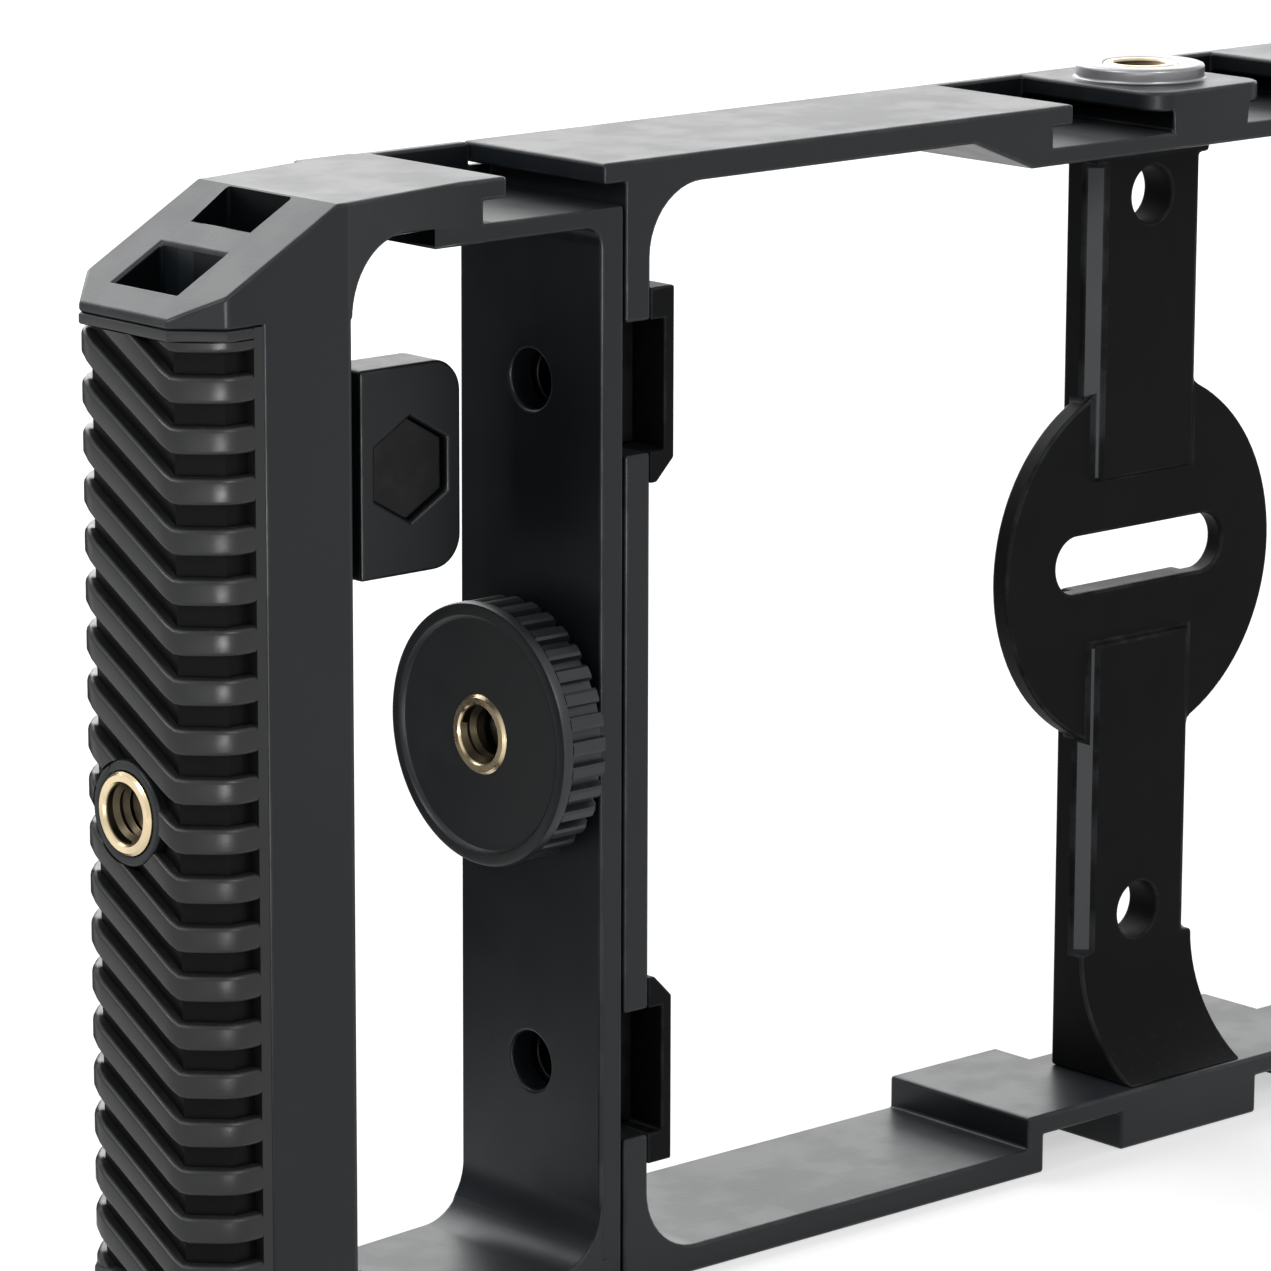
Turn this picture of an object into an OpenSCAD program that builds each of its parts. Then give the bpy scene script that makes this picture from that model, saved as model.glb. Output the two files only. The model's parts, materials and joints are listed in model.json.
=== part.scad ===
// Phone cage: two ribbed side grips, each locked to a centre frame by a thumb knob.
// The frame carries cold shoes, a slotted clamp post and a tripod socket.
// X runs along the cage, Y from front to back and Z up. The origin is the mouth of
// the tripod socket, in the plane that the cage stands on.

/* [Overall] */
// Width across both grips
rig_w = 291; // [280:1:320]
// Height from the standing plane to the top of the grips
rig_h = 121; // [114:1:136]
// Depth of the frame's walls and bars
frame_d = 22.5; // [20:0.5:27]

/* [Grips] */
// Width of a grip, across the cage
grip_w = 20; // [19:0.5:24]
// Depth of a grip, from front to back
grip_d = 22.5; // [20:0.5:25]
// How far the grips sit in front of the frame's middle
grip_shift = 3.2; // [0:0.1:4]
// How far the inserts and strap slots sit in front of the frame's middle
core_shift = 2.5; // [0:0.1:4]
// Cut on the grip's two outer edges
grip_chamfer = 4.2; // [3:0.1:5]
// Rounding of the edges on the finger side
grip_edge_r = 1; // [0.5:0.5:3]
// Clear width for the fingers, from the grip to the side wall
finger_gap = 35; // [32:1:44]
// Run of the slanted outer corner along the cage
corner_w = 18; // [17.5:0.5:19]
// Drop of the slanted outer corner
corner_h = 10; // [6:0.5:13]
// Thickness of the arms between the grip and the wall
arm_t = 4.2; // [3:0.1:6]
// Rounding of the finger loop beside the grip
arch_r = 7.5; // [4:0.5:12]
// Thickness of the grip's side wall
wall_t = 3.1; // [2.4:0.1:4]
// Rounding of the finger loop beside the side wall
wall_r = 6; // [3:0.5:9]

/* [Strap slots] */
// Length of the strap slots, from front to back
strap_l = 10.2; // [8:0.2:12]
// Wall left outside the outer slot
strap_rim = 3.4; // [3:0.1:4]
// Width of the outer slot
strap_outer_w = 6; // [5:0.1:6.4]
// Width of the bar that the strap loops round
strap_bar = 3.4; // [2.5:0.1:3.8]
// Width of the inner slot
strap_inner_w = 5; // [4.5:0.1:5.2]
// Depth of the strap loop below the grip's end
strap_depth = 17; // [15:0.5:20]
// Height of the passage under the bar
strap_passage = 6; // [4.5:0.5:7]

/* [Ribbed sleeves] */
// Thickness of the ribbed sleeve
sleeve_t = 2.2; // [1.8:0.1:2.6]
// How far the sleeve reaches round onto the front and back
sleeve_reach = 8.6; // [7.6:0.2:12]
// Plain band between the slanted corner and the sleeve
sleeve_margin = 1; // [0.5:0.5:3]
// Plain border round the ribbed field
rib_margin = 1.2; // [0.8:0.1:2]
// Distance from one rib to the next
rib_pitch = 5; // [4:0.1:6]
// Width of the groove between two ribs
rib_gap = 2.2; // [1.4:0.1:2.8]
// Depth of the grooves
rib_depth = 1.2; // [0.6:0.1:1.5]
// Fall of the ribs across the outer face, in degrees
rib_angle = 29; // [15:1:35]

/* [Thread inserts] */
// Bore of a quarter inch insert, at the crests of its thread
thread_d = 5.2; // [5:0.05:5.4]
// Outer diameter of an insert
insert_d = 8.5; // [7.6:0.1:9.2]
// Length of the inserts in the grips
grip_insert_l = 9; // [6:0.5:12]
// Diameter of the plain boss round a grip's insert
grip_boss_d = 10.8; // [9.6:0.1:13]
// How far the grip and knob inserts stand proud
insert_proud = 0.3; // [0:0.1:0.6]

/* [Accessory lugs] */
// Reach of a lug from the grip
lug_l = 27.4; // [22:0.2:29]
// Length of the thick pad at the lug's free end
lug_pad_l = 13.4; // [13:0.2:16]
// Height of a lug
lug_h = 22; // [17:0.5:26]
// Thickness of the pad
lug_t = 6; // [5.5:0.1:7]
// Thickness of the web between grip and pad
lug_web_t = 3.6; // [2.5:0.1:5]
// Rounding of the lug's free corners
lug_r = 3.5; // [2:0.1:4.5]
// Height of the lug's middle above the knob axis
lug_z = 28.8; // [27:0.2:34]
// Width across the flats of the hex nut in the lug
lug_nut_af = 9.5; // [8:0.1:11.5]
// Thickness of the hex nut
lug_nut_t = 3.9; // [3.2:0.1:4]
// Depth of that nut below the pad's face
lug_nut_sink = 0.9; // [0.2:0.1:1.2]
// Thickness of that nut's closed face
lug_nut_cap = 0.8; // [0.5:0.1:1.2]

/* [Centre frame] */
// Thickness of the frame's side walls
side_t = 3.4; // [2.6:0.1:4.5]
// Thickness of the top bar
bar_t = 3; // [2.6:0.1:4]
// Thickness of the bottom bar
base_t = 3.1; // [2.4:0.1:4]
// Rounding of the window's corners
window_r = 7.3; // [4:0.1:11]

/* [Cold shoes] */
// Width of a shoe under its lips
shoe_w = 19; // [18.6:0.1:19.6]
// Width between the lips
shoe_gap = 13; // [12.4:0.1:14]
// Thickness of the lips
lip_t = 2.2; // [1.8:0.1:2.4]
// Thickness left at the edge of the bevelled lips on the frame
lip_edge = 0.8; // [0.5:0.1:1.6]
// Height of the slot under the lips
shoe_slot = 2.3; // [2.1:0.1:2.6]
// Thickness of the floor under a shoe
shoe_floor = 2; // [1.8:0.1:3.4]
// Thickness of the stop at the back end of a shoe
stop_t = 1.6; // [1:0.1:3]
// Width of the block between an arm and its shoe
block_w = 6.5; // [5:0.5:9]
// Width of the block between the two middle shoes
mid_block_w = 18; // [17:0.1:20]
// Width of the web that carries the top bar beside a middle shoe
shoe_web = 3; // [2:0.5:5]
// Length of the ramp from the top bar down to that web
ramp_l = 9; // [5:0.5:14]
// Rounding of the middle block's front corners
mid_block_r = 3; // [1:0.5:4]
// Diameter of the round boss on the middle block
top_boss_d = 14.5; // [12:0.5:17]
// Height of that boss
top_boss_h = 1.7; // [0.8:0.1:3]

/* [Clamp post] */
// Width of the post
post_w = 18.4; // [18:0.2:22]
// Thickness of the post
post_t = 4.6; // [4:0.1:6]
// Distance of the post's back face behind the frame's middle
post_back = 2.2; // [1:0.1:4]
// Cut on the post's front edges
post_chamfer = 1.8; // [0.6:0.1:2.2]
// Diameter of the round clamp plate
disc_d = 43; // [38:0.5:52]
// Thickness of the round clamp plate
disc_t = 2.4; // [2:0.1:2.8]
// How far the clamp plate sits in front of the post's back face
disc_set = 1.4; // [0.6:0.1:1.6]
// Height of the clamp plate's middle above the knob axis
disc_z = 5.2; // [0:0.2:10]
// Length of the clamp slot
slot_l = 27; // [22:0.2:34]
// Height of the clamp slot, clear of a quarter inch screw
slot_h = 6.6; // [6.4:0.1:7.4]
// Height of the guide channel round the slot
channel_h = 19; // [14:0.5:24]
// Height of the slot above the knob axis
slot_z = 6; // [2:0.2:9]
// Diameter of the two holes in the post
post_hole_d = 6.4; // [5:0.1:7]
// Height of the upper hole above the knob axis
post_hole_up = 47.5; // [40:0.5:48]
// Depth of the lower hole below the knob axis
post_hole_down = 35.8; // [30:0.2:38]
// Height of the post's swept foot
foot_h = 14; // [8:0.5:14.5]
// Reach of the foot towards the front
foot_reach = 8.4; // [5:0.2:8.6]
// Radius of the post's head, towards the front
head_r = 2.5; // [1:0.5:6]
// Height of the tenon on the post's head
tenon_h = 1.8; // [1:0.1:2]
// Width of that tenon
tenon_w = 10; // [8:0.2:10.4]

/* [Base] */
// Width of the raised plate under the post
plate_w = 52.5; // [48:0.5:64]
// Height of the raised plate's top
plate_z = 6.8; // [6.4:0.1:9]
// Thickness of the raised plate
plate_t = 2.4; // [1.8:0.1:3]
// Thickness of the step at each end of the raised plate
step_t = 2.5; // [2:0.1:4]
// Width of the tripod socket's block
socket_w = 22.5; // [20:0.5:30]
// Length of the insert in the tripod socket
socket_l = 6; // [5:0.1:6]
// Distance of the post screws from the sides of the post
screw_edge = 2; // [1.8:0.1:2.2]
// Shank diameter of the post screws
screw_d = 2.5; // [2:0.1:2.8]
// Head diameter of the post screws
screw_head_d = 4.5; // [4:0.1:4.8]
// Head height of the post screws
screw_head_h = 2; // [1.6:0.1:2.4]
// Depth to which the post screws reach into the post
screw_bite = 6; // [4:0.5:9]

/* [Nut keepers] */
// Height of the accessory holes above and below the knob axis
hole_z = 36.8; // [34:0.2:38]
// Diameter of the accessory holes in the side walls
hole_d = 6.4; // [6.4:0.1:7]
// Width of the square nuts behind those holes
nut_w = 13.4; // [11:0.1:14]
// Height of a nut keeper
keeper_h = 20.5; // [18:0.1:23]
// How far a keeper stands into the window
keeper_reach = 3.3; // [2.8:0.1:4.5]
// Thickness of a keeper's bar
keeper_bar = 1.4; // [1:0.1:1.8]
// Cut on the keeper's corner that faces the knob axis
keeper_chamfer = 2.4; // [1:0.1:2.6]

/* [Knobs] */
// Diameter of a knob
knob_d = 28; // [26:0.5:32]
// Thickness of a knob
knob_t = 6.4; // [6.3:0.1:9]
// Teeth round the rim
knob_teeth = 33; // [24:1:40]
// Depth of the gaps between the teeth
tooth_depth = 1; // [0.6:0.1:1.4]
// Thickness of the smooth disc in front of the teeth
knob_face_t = 1.4; // [1:0.1:2.2]
// Width of the raised lip round the face
knob_lip_w = 1.5; // [1:0.1:2.5]
// Depth of the face inside the lip
knob_dish = 0.5; // [0.2:0.1:0.9]
// Length of the knob's thread insert
knob_insert_l = 3.6; // [3:0.1:3.8]
// Diameter of the knob's threaded stud
stud_d = 6.35; // [6:0.05:6.4]
// How far the stud is moulded into the knob
stud_hold = 2.2; // [1.6:0.1:2.4]
// Thickness of the washer behind the knob
washer_t = 0.8; // [0.6:0.1:1.6]
// Diameter of the washer
washer_d = 14; // [11:0.5:18]
// Diameter of the threaded bush in the frame's side wall
bush_d = 11; // [9.5:0.1:13]

/* [Clearances] */
// Seam between a grip's wall and the frame
seam = 0.3; // [0.1:0.1:0.6]
// Gap round pressed and moulded-in pieces
seat_gap = 0.02; // [0.01:0.01:0.05]
// Gap round the studs in their bushes and washers
run_gap = 0.05; // [0.02:0.01:0.1]
// Gap between flat faces that slide or turn
face_gap = 0.1; // [0.05:0.05:0.3]
// Gap round a screw or stud in a plain hole
hole_gap = 0.15; // [0.1:0.05:0.3]
// Gap round a nut in its pocket
nut_gap = 0.2; // [0.1:0.05:0.4]

/* [Hidden] */
$fn = 64;

// How far a cutting shape runs past the face that it cuts
past = 1;
axis_z = rig_h / 2;
half_d = frame_d / 2;

// Left side, from the outside to the middle
grip_x = -rig_w / 2;
finger_x = grip_x + grip_w;
wall_x = finger_x + finger_gap;
frame_x = wall_x + wall_t + seam;
window_x = frame_x + side_t;
grip_front = -grip_shift - grip_d / 2;
grip_back = -grip_shift + grip_d / 2;
sleeve_low = corner_h + sleeve_margin;
sleeve_high = rig_h - sleeve_low;
// A wall that follows the outside at an even distance has a shorter cut on its corner
inset_chamfer = grip_chamfer - sleeve_t * (2 - sqrt(2));

// Cold shoes
lip_reach = (shoe_w - shoe_gap) / 2;
floor_z = rig_h - lip_t - shoe_slot;
floor_under = floor_z - shoe_floor;
shoe_x = frame_x - shoe_w;
block_x = shoe_x - block_w;
mid_lip_x = mid_block_w / 2;
mid_wall_x = mid_lip_x - lip_reach;
mid_web_x = mid_wall_x + shoe_w;

// Post
post_y1 = post_back;
post_y0 = post_back - post_t;
disc_y1 = post_y1 - disc_set;
disc_y0 = disc_y1 - disc_t;
// The foot's curve meets the post's front in a straight line
foot_r = (pow(foot_h, 2) + pow(foot_reach, 2)) / (2 * foot_reach);
top_insert_z = floor_under + tenon_h + 2 * seat_gap;

// Lug
lug_y0 = grip_back - lug_t;
lug_nut_x = finger_x + lug_l - lug_pad_l / 2;
lug_nut_y = lug_y0 + lug_nut_sink;

// Keepers and their nuts
pocket_w = nut_w + 2 * nut_gap;
keeper_x = window_x + keeper_reach;
nut_x0 = wall_x + wall_t + nut_gap;
nut_x1 = keeper_x - keeper_bar - nut_gap;

// Knob, measured from the wall outwards
washer_x = wall_x - face_gap - washer_t;
knob_back = washer_x - face_gap;
knob_front = knob_back - knob_t;
tooth_pitch = 360 / knob_teeth;

body_black = [0.09, 0.09, 0.1];
sleeve_black = [0.06, 0.06, 0.07];
frame_black = [0.12, 0.12, 0.13];
brass_gold = [0.82, 0.66, 0.4];
steel_grey = [0.5, 0.5, 0.52];

// Helpers

// Draws an X-Z outline and runs it from front y0 to back y1
module slab(y0, y1) {
  translate([0, y1, 0])
    rotate([90, 0, 0])
      linear_extrude(y1 - y0)
        children();
}

// Draws a Y-Z outline and runs it from x0 to x1
module run_x(x0, x1) {
  translate([x0, 0, 0])
    rotate([90, 0, 90])
      linear_extrude(x1 - x0)
        children();
}

// A round bar along X, on the axis y, z
module rod_x(x0, x1, d, y = 0, z = axis_z) {
  translate([x0, y, z])
    rotate([0, 90, 0])
      cylinder(h = x1 - x0, d = d);
}

// A round bar along Y, on the axis x, z
module rod_y(y0, y1, d, x, z) {
  translate([x, y1, z])
    rotate([90, 0, 0])
      cylinder(h = y1 - y0, d = d);
}

// A box from one corner to the other
module block(low, high) {
  translate(low)
    cube(high - low);
}

// The rounding of an inner corner whose sides run along +x and +y
module inner_round(r) {
  difference() {
    square(r);
    translate([r, r])
      circle(r);
  }
}

// A rectangle with round corners, from one corner to the other
module round_rect(low, high, r) {
  size = high - low;
  translate(low + [r, 0])
    square([size[0] - 2 * r, size[1]]);
  translate(low + [0, r])
    square([size[0], size[1] - 2 * r]);
  for (x = [r, size[0] - r], y = [r, size[1] - r])
    translate(low + [x, y])
      circle(r);
}

// Repeats a left-hand shape on both sides of the cage
module both_sides() {
  children();
  mirror([1, 0, 0])
    children();
}

// Repeats an upper shape at the lower end of the grip
module both_ends() {
  children();
  translate([0, 0, rig_h])
    mirror([0, 0, 1])
      children();
}

// Puts a left-hand shape on the right-hand side
module on_right() {
  mirror([1, 0, 0])
    children();
}

// Grip frame

// Cross-section of a grip, taken in from its outer faces by inset
module grip_section(inset = 0, chamfer = grip_chamfer) {
  low = [grip_x + inset, grip_front + inset];
  high = [finger_x, grip_back - inset];
  difference() {
    translate(low)
      square(high - low);
    for (y = [low[1], high[1]])
      translate([low[0], y])
        rotate(45)
          square(chamfer * sqrt(2), center = true);
    translate([high[0], low[1]])
      mirror([1, 0])
        inner_round(grip_edge_r);
    translate(high)
      mirror([1, 0])
        mirror([0, 1])
          inner_round(grip_edge_r);
  }
}

// The part of the cross-section that the sleeve takes up
module sleeve_section(gap = 0) {
  intersection() {
    difference() {
      grip_section();
      grip_section(sleeve_t - gap, inset_chamfer);
    }
    translate([grip_x - past, grip_front - past])
      square([sleeve_reach + past - gap, grip_d + 2 * past]);
  }
}

// Takes off the slanted outer corner at the top of the grip
module corner_cut() {
  slope = corner_h / corner_w;
  reach = 2 * past;
  slab(grip_front - past, grip_back + past)
    polygon([
      [grip_x - reach, rig_h - corner_h - reach * slope],
      [grip_x + corner_w + reach, rig_h + reach * slope],
      [grip_x - reach, rig_h + reach * slope]
    ]);
}

// Two slots joined below a bar, for a wrist strap
module strap_cut() {
  y0 = -core_shift - strap_l / 2;
  y1 = y0 + strap_l;
  outer_x = grip_x + strap_rim;
  inner_x = outer_x + strap_outer_w + strap_bar;
  bottom = rig_h - strap_depth;
  block([outer_x, y0, bottom], [outer_x + strap_outer_w, y1, rig_h + past]);
  block([inner_x, y0, bottom], [inner_x + strap_inner_w, y1, rig_h + past]);
  block([outer_x, y0, bottom], [inner_x + strap_inner_w, y1, bottom + strap_passage]);
}

// The grip itself, with its seat for the sleeve and the boss for the insert
module grip_column() {
  difference() {
    linear_extrude(rig_h)
      grip_section();
    both_ends()
      corner_cut();
    both_ends()
      strap_cut();
    difference() {
      translate([0, 0, sleeve_low])
        linear_extrude(sleeve_high - sleeve_low)
          sleeve_section(-seat_gap);
      rod_x(grip_x - past, grip_x + grip_w / 2, grip_boss_d, -core_shift);
    }
  }
}

// An arm at the top of the finger loop, which widens from the grip's depth to the frame's.
// It runs up to x1, with a rounding of radius r under its end at the side wall.
module arm(x1, r = 0) {
  grip_side = finger_x - grip_edge_r;
  intersection() {
    slab(grip_front - past, half_d + past) {
      translate([grip_side, rig_h - arm_t])
        square([x1 - grip_side, arm_t]);
      translate([grip_side, rig_h - arm_t - arch_r])
        square([grip_edge_r, arch_r]);
      translate([finger_x, rig_h - arm_t])
        mirror([0, 1])
          inner_round(arch_r);
      if (r > 0)
        translate([wall_x, rig_h - arm_t])
          mirror([1, 0])
            mirror([0, 1])
              inner_round(r);
    }
    linear_extrude(rig_h)
      polygon([
        [grip_side, grip_front],
        [x1, -half_d],
        [x1, half_d],
        [grip_side, grip_back]
      ]);
  }
}

// Block, lip and floor of the shoe at the cage's corner, and the side wall below it
module wall_and_shoe() {
  slab(-half_d, half_d) {
    translate([wall_x, 0])
      square([wall_t, floor_z]);
    translate([block_x, floor_under])
      square([wall_x + wall_t - block_x, shoe_floor]);
    translate([block_x, floor_under])
      square([block_w, rig_h - floor_under]);
    translate([block_x, rig_h - lip_t])
      square([block_w + lip_reach, lip_t]);
    translate([wall_x, floor_under])
      mirror([1, 1])
        inner_round(shoe_floor);
  }
  // The stop leaves room for the lip on the frame
  slab(half_d - stop_t, half_d) {
    translate([block_x, floor_under])
      square([frame_x - lip_reach - seam - block_x, rig_h - floor_under]);
    translate([block_x, floor_under])
      square([wall_x + wall_t - block_x, shoe_floor + shoe_slot - seam]);
  }
}

// An ear on the finger side of the grip, with a pad for a hex nut
module lug() {
  x1 = finger_x + lug_l;
  pad_x = x1 - lug_pad_l;
  z0 = axis_z + lug_z - lug_h / 2;
  z1 = z0 + lug_h;
  slab(grip_back - lug_web_t, grip_back)
    translate([finger_x - grip_edge_r, z0])
      square([pad_x + lug_pad_l / 2 - finger_x + grip_edge_r, lug_h]);
  slab(lug_y0, grip_back)
    difference() {
      translate([pad_x, z0])
        square([lug_pad_l, lug_h]);
      translate([x1, z0])
        mirror([1, 0])
          inner_round(lug_r);
      translate([x1, z1])
        mirror([1, 0])
          mirror([0, 1])
            inner_round(lug_r);
    }
}

// Hex outline of the lug's nut, with its flats upright
module hex(af) {
  rotate(30)
    circle(d = af / cos(30), $fn = 6);
}

module grip_frame() {
  nut_z = axis_z + lug_z;
  difference() {
    union() {
      grip_column();
      arm(block_x + block_w / 2);
      translate([0, 0, rig_h])
        mirror([0, 0, 1])
          arm(wall_x + wall_t / 2, wall_r);
      wall_and_shoe();
      lug();
    }
    rod_x(grip_x - past, grip_x + grip_insert_l, insert_d + 2 * seat_gap, -core_shift);
    rod_x(wall_x - past, wall_x + wall_t + past, stud_d + 2 * hole_gap);
    for (side = [-1, 1])
      rod_x(wall_x - past, wall_x + wall_t + past, hole_d, 0, axis_z + side * hole_z);
    slab(lug_y0 - past, lug_nut_y + lug_nut_t)
      translate([lug_nut_x, nut_z])
        hex(lug_nut_af + 2 * seat_gap);
    rod_y(lug_y0, grip_back + past, hole_d, lug_nut_x, nut_z);
  }
}

module left_grip_frame() {
  color(body_black)
    grip_frame();
}

module right_grip_frame() {
  color(body_black)
    on_right()
      grip_frame();
}

// Ribbed sleeve

// One groove: it falls forward across the outer face and runs level round both edges
module rib_groove(z) {
  face = grip_d - 2 * grip_chamfer;
  fall = face * tan(rib_angle);
  middle = -grip_shift;
  end_x = grip_x + sleeve_reach - rib_margin;
  translate([grip_x - past, middle, z])
    rotate([rib_angle, 0, 0])
      translate([0, -grip_d / 2, -rib_gap * cos(rib_angle) / 2])
        cube([past + rib_depth, grip_d, rib_gap * cos(rib_angle)]);
  block([grip_x - past, grip_back - grip_chamfer, z + fall / 2 - rib_gap / 2],
        [end_x, grip_back + past, z + fall / 2 + rib_gap / 2]);
  block([grip_x - past, grip_front - past, z - fall / 2 - rib_gap / 2],
        [end_x, grip_front + grip_chamfer, z - fall / 2 + rib_gap / 2]);
}

module grip_sleeve() {
  length = sleeve_high - sleeve_low;
  low = sleeve_low + rib_margin;
  high = sleeve_high - rib_margin;
  fall = grip_d * tan(rib_angle);
  count = ceil((length + fall) / (2 * rib_pitch));
  core = rib_depth;
  difference() {
    translate([0, 0, sleeve_low])
      linear_extrude(length)
        sleeve_section();
    difference() {
      intersection() {
        union()
          for (i = [-count : count])
            rib_groove(axis_z + i * rib_pitch);
        block([grip_x - past, grip_front - past, low], [finger_x, grip_back + past, high]);
      }
      translate([0, 0, -past])
        linear_extrude(rig_h + 2 * past)
          grip_section(core, grip_chamfer - core * (2 - sqrt(2)));
    }
    rod_x(grip_x - past, grip_x + sleeve_t + past, grip_boss_d + 2 * seat_gap, -core_shift);
  }
}

module left_grip_sleeve() {
  color(sleeve_black)
    grip_sleeve();
}

module right_grip_sleeve() {
  color(sleeve_black)
    on_right()
      grip_sleeve();
}

// Brass inserts and nuts of the grips

module grip_insert() {
  difference() {
    rod_x(grip_x - insert_proud, grip_x + grip_insert_l - seat_gap, insert_d, -core_shift);
    rod_x(grip_x - past, grip_x + grip_insert_l + past, thread_d, -core_shift);
  }
}

module left_grip_insert() {
  color(brass_gold)
    grip_insert();
}

module right_grip_insert() {
  color(brass_gold)
    on_right()
      grip_insert();
}

module lug_nut() {
  nut_z = axis_z + lug_z;
  difference() {
    slab(lug_nut_y, lug_nut_y + lug_nut_t)
      translate([lug_nut_x, nut_z])
        hex(lug_nut_af);
    rod_y(lug_nut_y + lug_nut_cap, grip_back + past, thread_d, lug_nut_x, nut_z);
  }
}

module left_lug_nut() {
  color(body_black)
    lug_nut();
}

module right_lug_nut() {
  color(body_black)
    on_right()
      lug_nut();
}

// Centre frame

// Outline of the frame seen from the front
module frame_outline() {
  difference() {
    union() {
      difference() {
        translate([frame_x, 0])
          square([-2 * frame_x, rig_h]);
        round_rect([window_x, base_t], [-window_x, rig_h - bar_t], window_r);
      }
      both_sides() {
        polygon([
          [frame_x, rig_h],
          [frame_x - lip_reach, rig_h - lip_t + lip_edge],
          [frame_x - lip_reach, rig_h - lip_t],
          [window_x, rig_h - lip_t],
          [window_x, rig_h]
        ]);
        polygon([
          [-mid_web_x - shoe_web, floor_under],
          [-mid_web_x - shoe_web - ramp_l, rig_h - bar_t],
          [-mid_web_x, rig_h - bar_t],
          [-mid_web_x, floor_under]
        ]);
      }
      translate([-mid_web_x - shoe_web, floor_under])
        square([2 * (mid_web_x + shoe_web), rig_h - floor_under]);
      translate([-plate_w / 2, 0])
        square([plate_w, plate_z]);
    }
    both_sides() {
      translate([-mid_web_x, floor_z])
        square([shoe_w, shoe_slot]);
      translate([-mid_lip_x - shoe_gap, floor_z])
        square([shoe_gap, lip_t + shoe_slot + past]);
      translate([-plate_w / 2 + step_t, -past])
        square([plate_w / 2 - step_t - socket_w / 2, past + plate_z - plate_t]);
    }
  }
}

// Where the two post screws stand
module at_post_screws() {
  for (side = [-1, 1])
    translate([side * (post_w / 2 - screw_edge), (post_y0 + post_y1) / 2, 0])
      children();
}

// Closes the back end of a middle shoe
module middle_stop() {
  slab(half_d - stop_t, half_d)
    translate([-mid_web_x - shoe_web / 2, floor_under])
      square([shoe_web / 2 + shoe_w + mid_wall_x / 2, rig_h - floor_under]);
}

// Rounds one front corner of the middle block's lips
module lip_corner_cut() {
  translate([-mid_lip_x, -half_d, floor_z])
    linear_extrude(rig_h)
      inner_round(mid_block_r);
}

module center_frame() {
  color(frame_black)
    difference() {
      union() {
        slab(-half_d, half_d)
          frame_outline();
        both_sides()
          middle_stop();
        translate([0, 0, rig_h - lip_t / 2])
          cylinder(h = lip_t / 2 + top_boss_h, d = top_boss_d);
      }
      both_sides() {
        lip_corner_cut();
        for (side = [-1, 1])
          translate([0, 0, axis_z + side * hole_z])
            block([frame_x - past, -half_d - past, -pocket_w / 2],
                  [window_x + past, pocket_w / 2, pocket_w / 2]);
        rod_x(frame_x - past, window_x + past, bush_d + 2 * seat_gap);
      }
      // The plate is open behind the post
      block([-post_w / 2, post_y1, plate_z - plate_t], [post_w / 2, half_d + past, plate_z + past]);
      translate([0, 0, -past])
        cylinder(h = past + socket_l + seat_gap, d = insert_d + 2 * seat_gap);
      translate([0, 0, top_insert_z])
        cylinder(h = rig_h, d = insert_d + 2 * seat_gap);
      translate([0, (post_y0 + post_y1) / 2, floor_under])
        translate([-tenon_w / 2 - seat_gap, -post_t / 2 - seat_gap, -past])
          cube([tenon_w + 2 * seat_gap, post_t + 2 * seat_gap, past + tenon_h + seat_gap]);
      at_post_screws() {
        translate([0, 0, -past])
          cylinder(h = 2 * past + plate_z, d = screw_d + 2 * hole_gap);
        translate([0, 0, -past])
          cylinder(h = past + screw_head_h, d = screw_head_d + 2 * hole_gap);
      }
    }
}

// Clamp post

// Side outline of the post: a straight web that sweeps forward at the foot and the head
module post_side() {
  translate([post_y0, plate_z])
    square([post_t, floor_under - plate_z]);
  difference() {
    translate([post_y0 - foot_reach, plate_z])
      square([foot_reach, foot_h]);
    translate([post_y0 - foot_r, plate_z + foot_h])
      circle(foot_r);
  }
  translate([post_y0, floor_under])
    mirror([1, 1])
      inner_round(head_r);
}

module center_post() {
  plate_mid = axis_z + disc_z;
  slot_mid = axis_z + slot_z;
  slot_x = (slot_l - slot_h) / 2;
  color(frame_black)
    difference() {
      union() {
        difference() {
          run_x(-post_w / 2, post_w / 2)
            post_side();
          for (side = [-1, 1])
            translate([side * post_w / 2, post_y0, plate_z + foot_h])
              rotate(45)
                translate([-post_chamfer / sqrt(2), -post_chamfer / sqrt(2), 0])
                  cube([post_chamfer * sqrt(2), post_chamfer * sqrt(2),
                        floor_under - plate_z - foot_h - head_r]);
          block([-post_w, post_y0 - past, slot_mid - channel_h / 2],
                [post_w, disc_y0, slot_mid + channel_h / 2]);
        }
        rod_y(disc_y0, disc_y1, disc_d, 0, plate_mid);
        translate([-tenon_w / 2, post_y0, floor_under - past])
          cube([tenon_w, post_t, past + tenon_h]);
      }
      for (side = [-1, 1])
        rod_y(post_y0 - past, post_y1 + past, slot_h, side * slot_x, slot_mid);
      block([-slot_x, post_y0 - past, slot_mid - slot_h / 2],
            [slot_x, post_y1 + past, slot_mid + slot_h / 2]);
      for (z = [post_hole_up, -post_hole_down])
        rod_y(-half_d - past, post_y1 + past, post_hole_d, 0, axis_z + z);
      at_post_screws()
        translate([0, 0, plate_z - past])
          cylinder(h = past + screw_bite + seat_gap, d = screw_d + 2 * seat_gap);
    }
}

module post_screws() {
  color(steel_grey)
    at_post_screws() {
      cylinder(h = screw_head_h, d = screw_head_d);
      cylinder(h = plate_z + screw_bite, d = screw_d);
    }
}

// A thread insert that stands upright
module upright_insert(z0, z1) {
  translate([0, 0, z0])
    difference() {
      cylinder(h = z1 - z0, d = insert_d);
      translate([0, 0, -past])
        cylinder(h = z1 - z0 + 2 * past, d = thread_d);
    }
}

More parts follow.
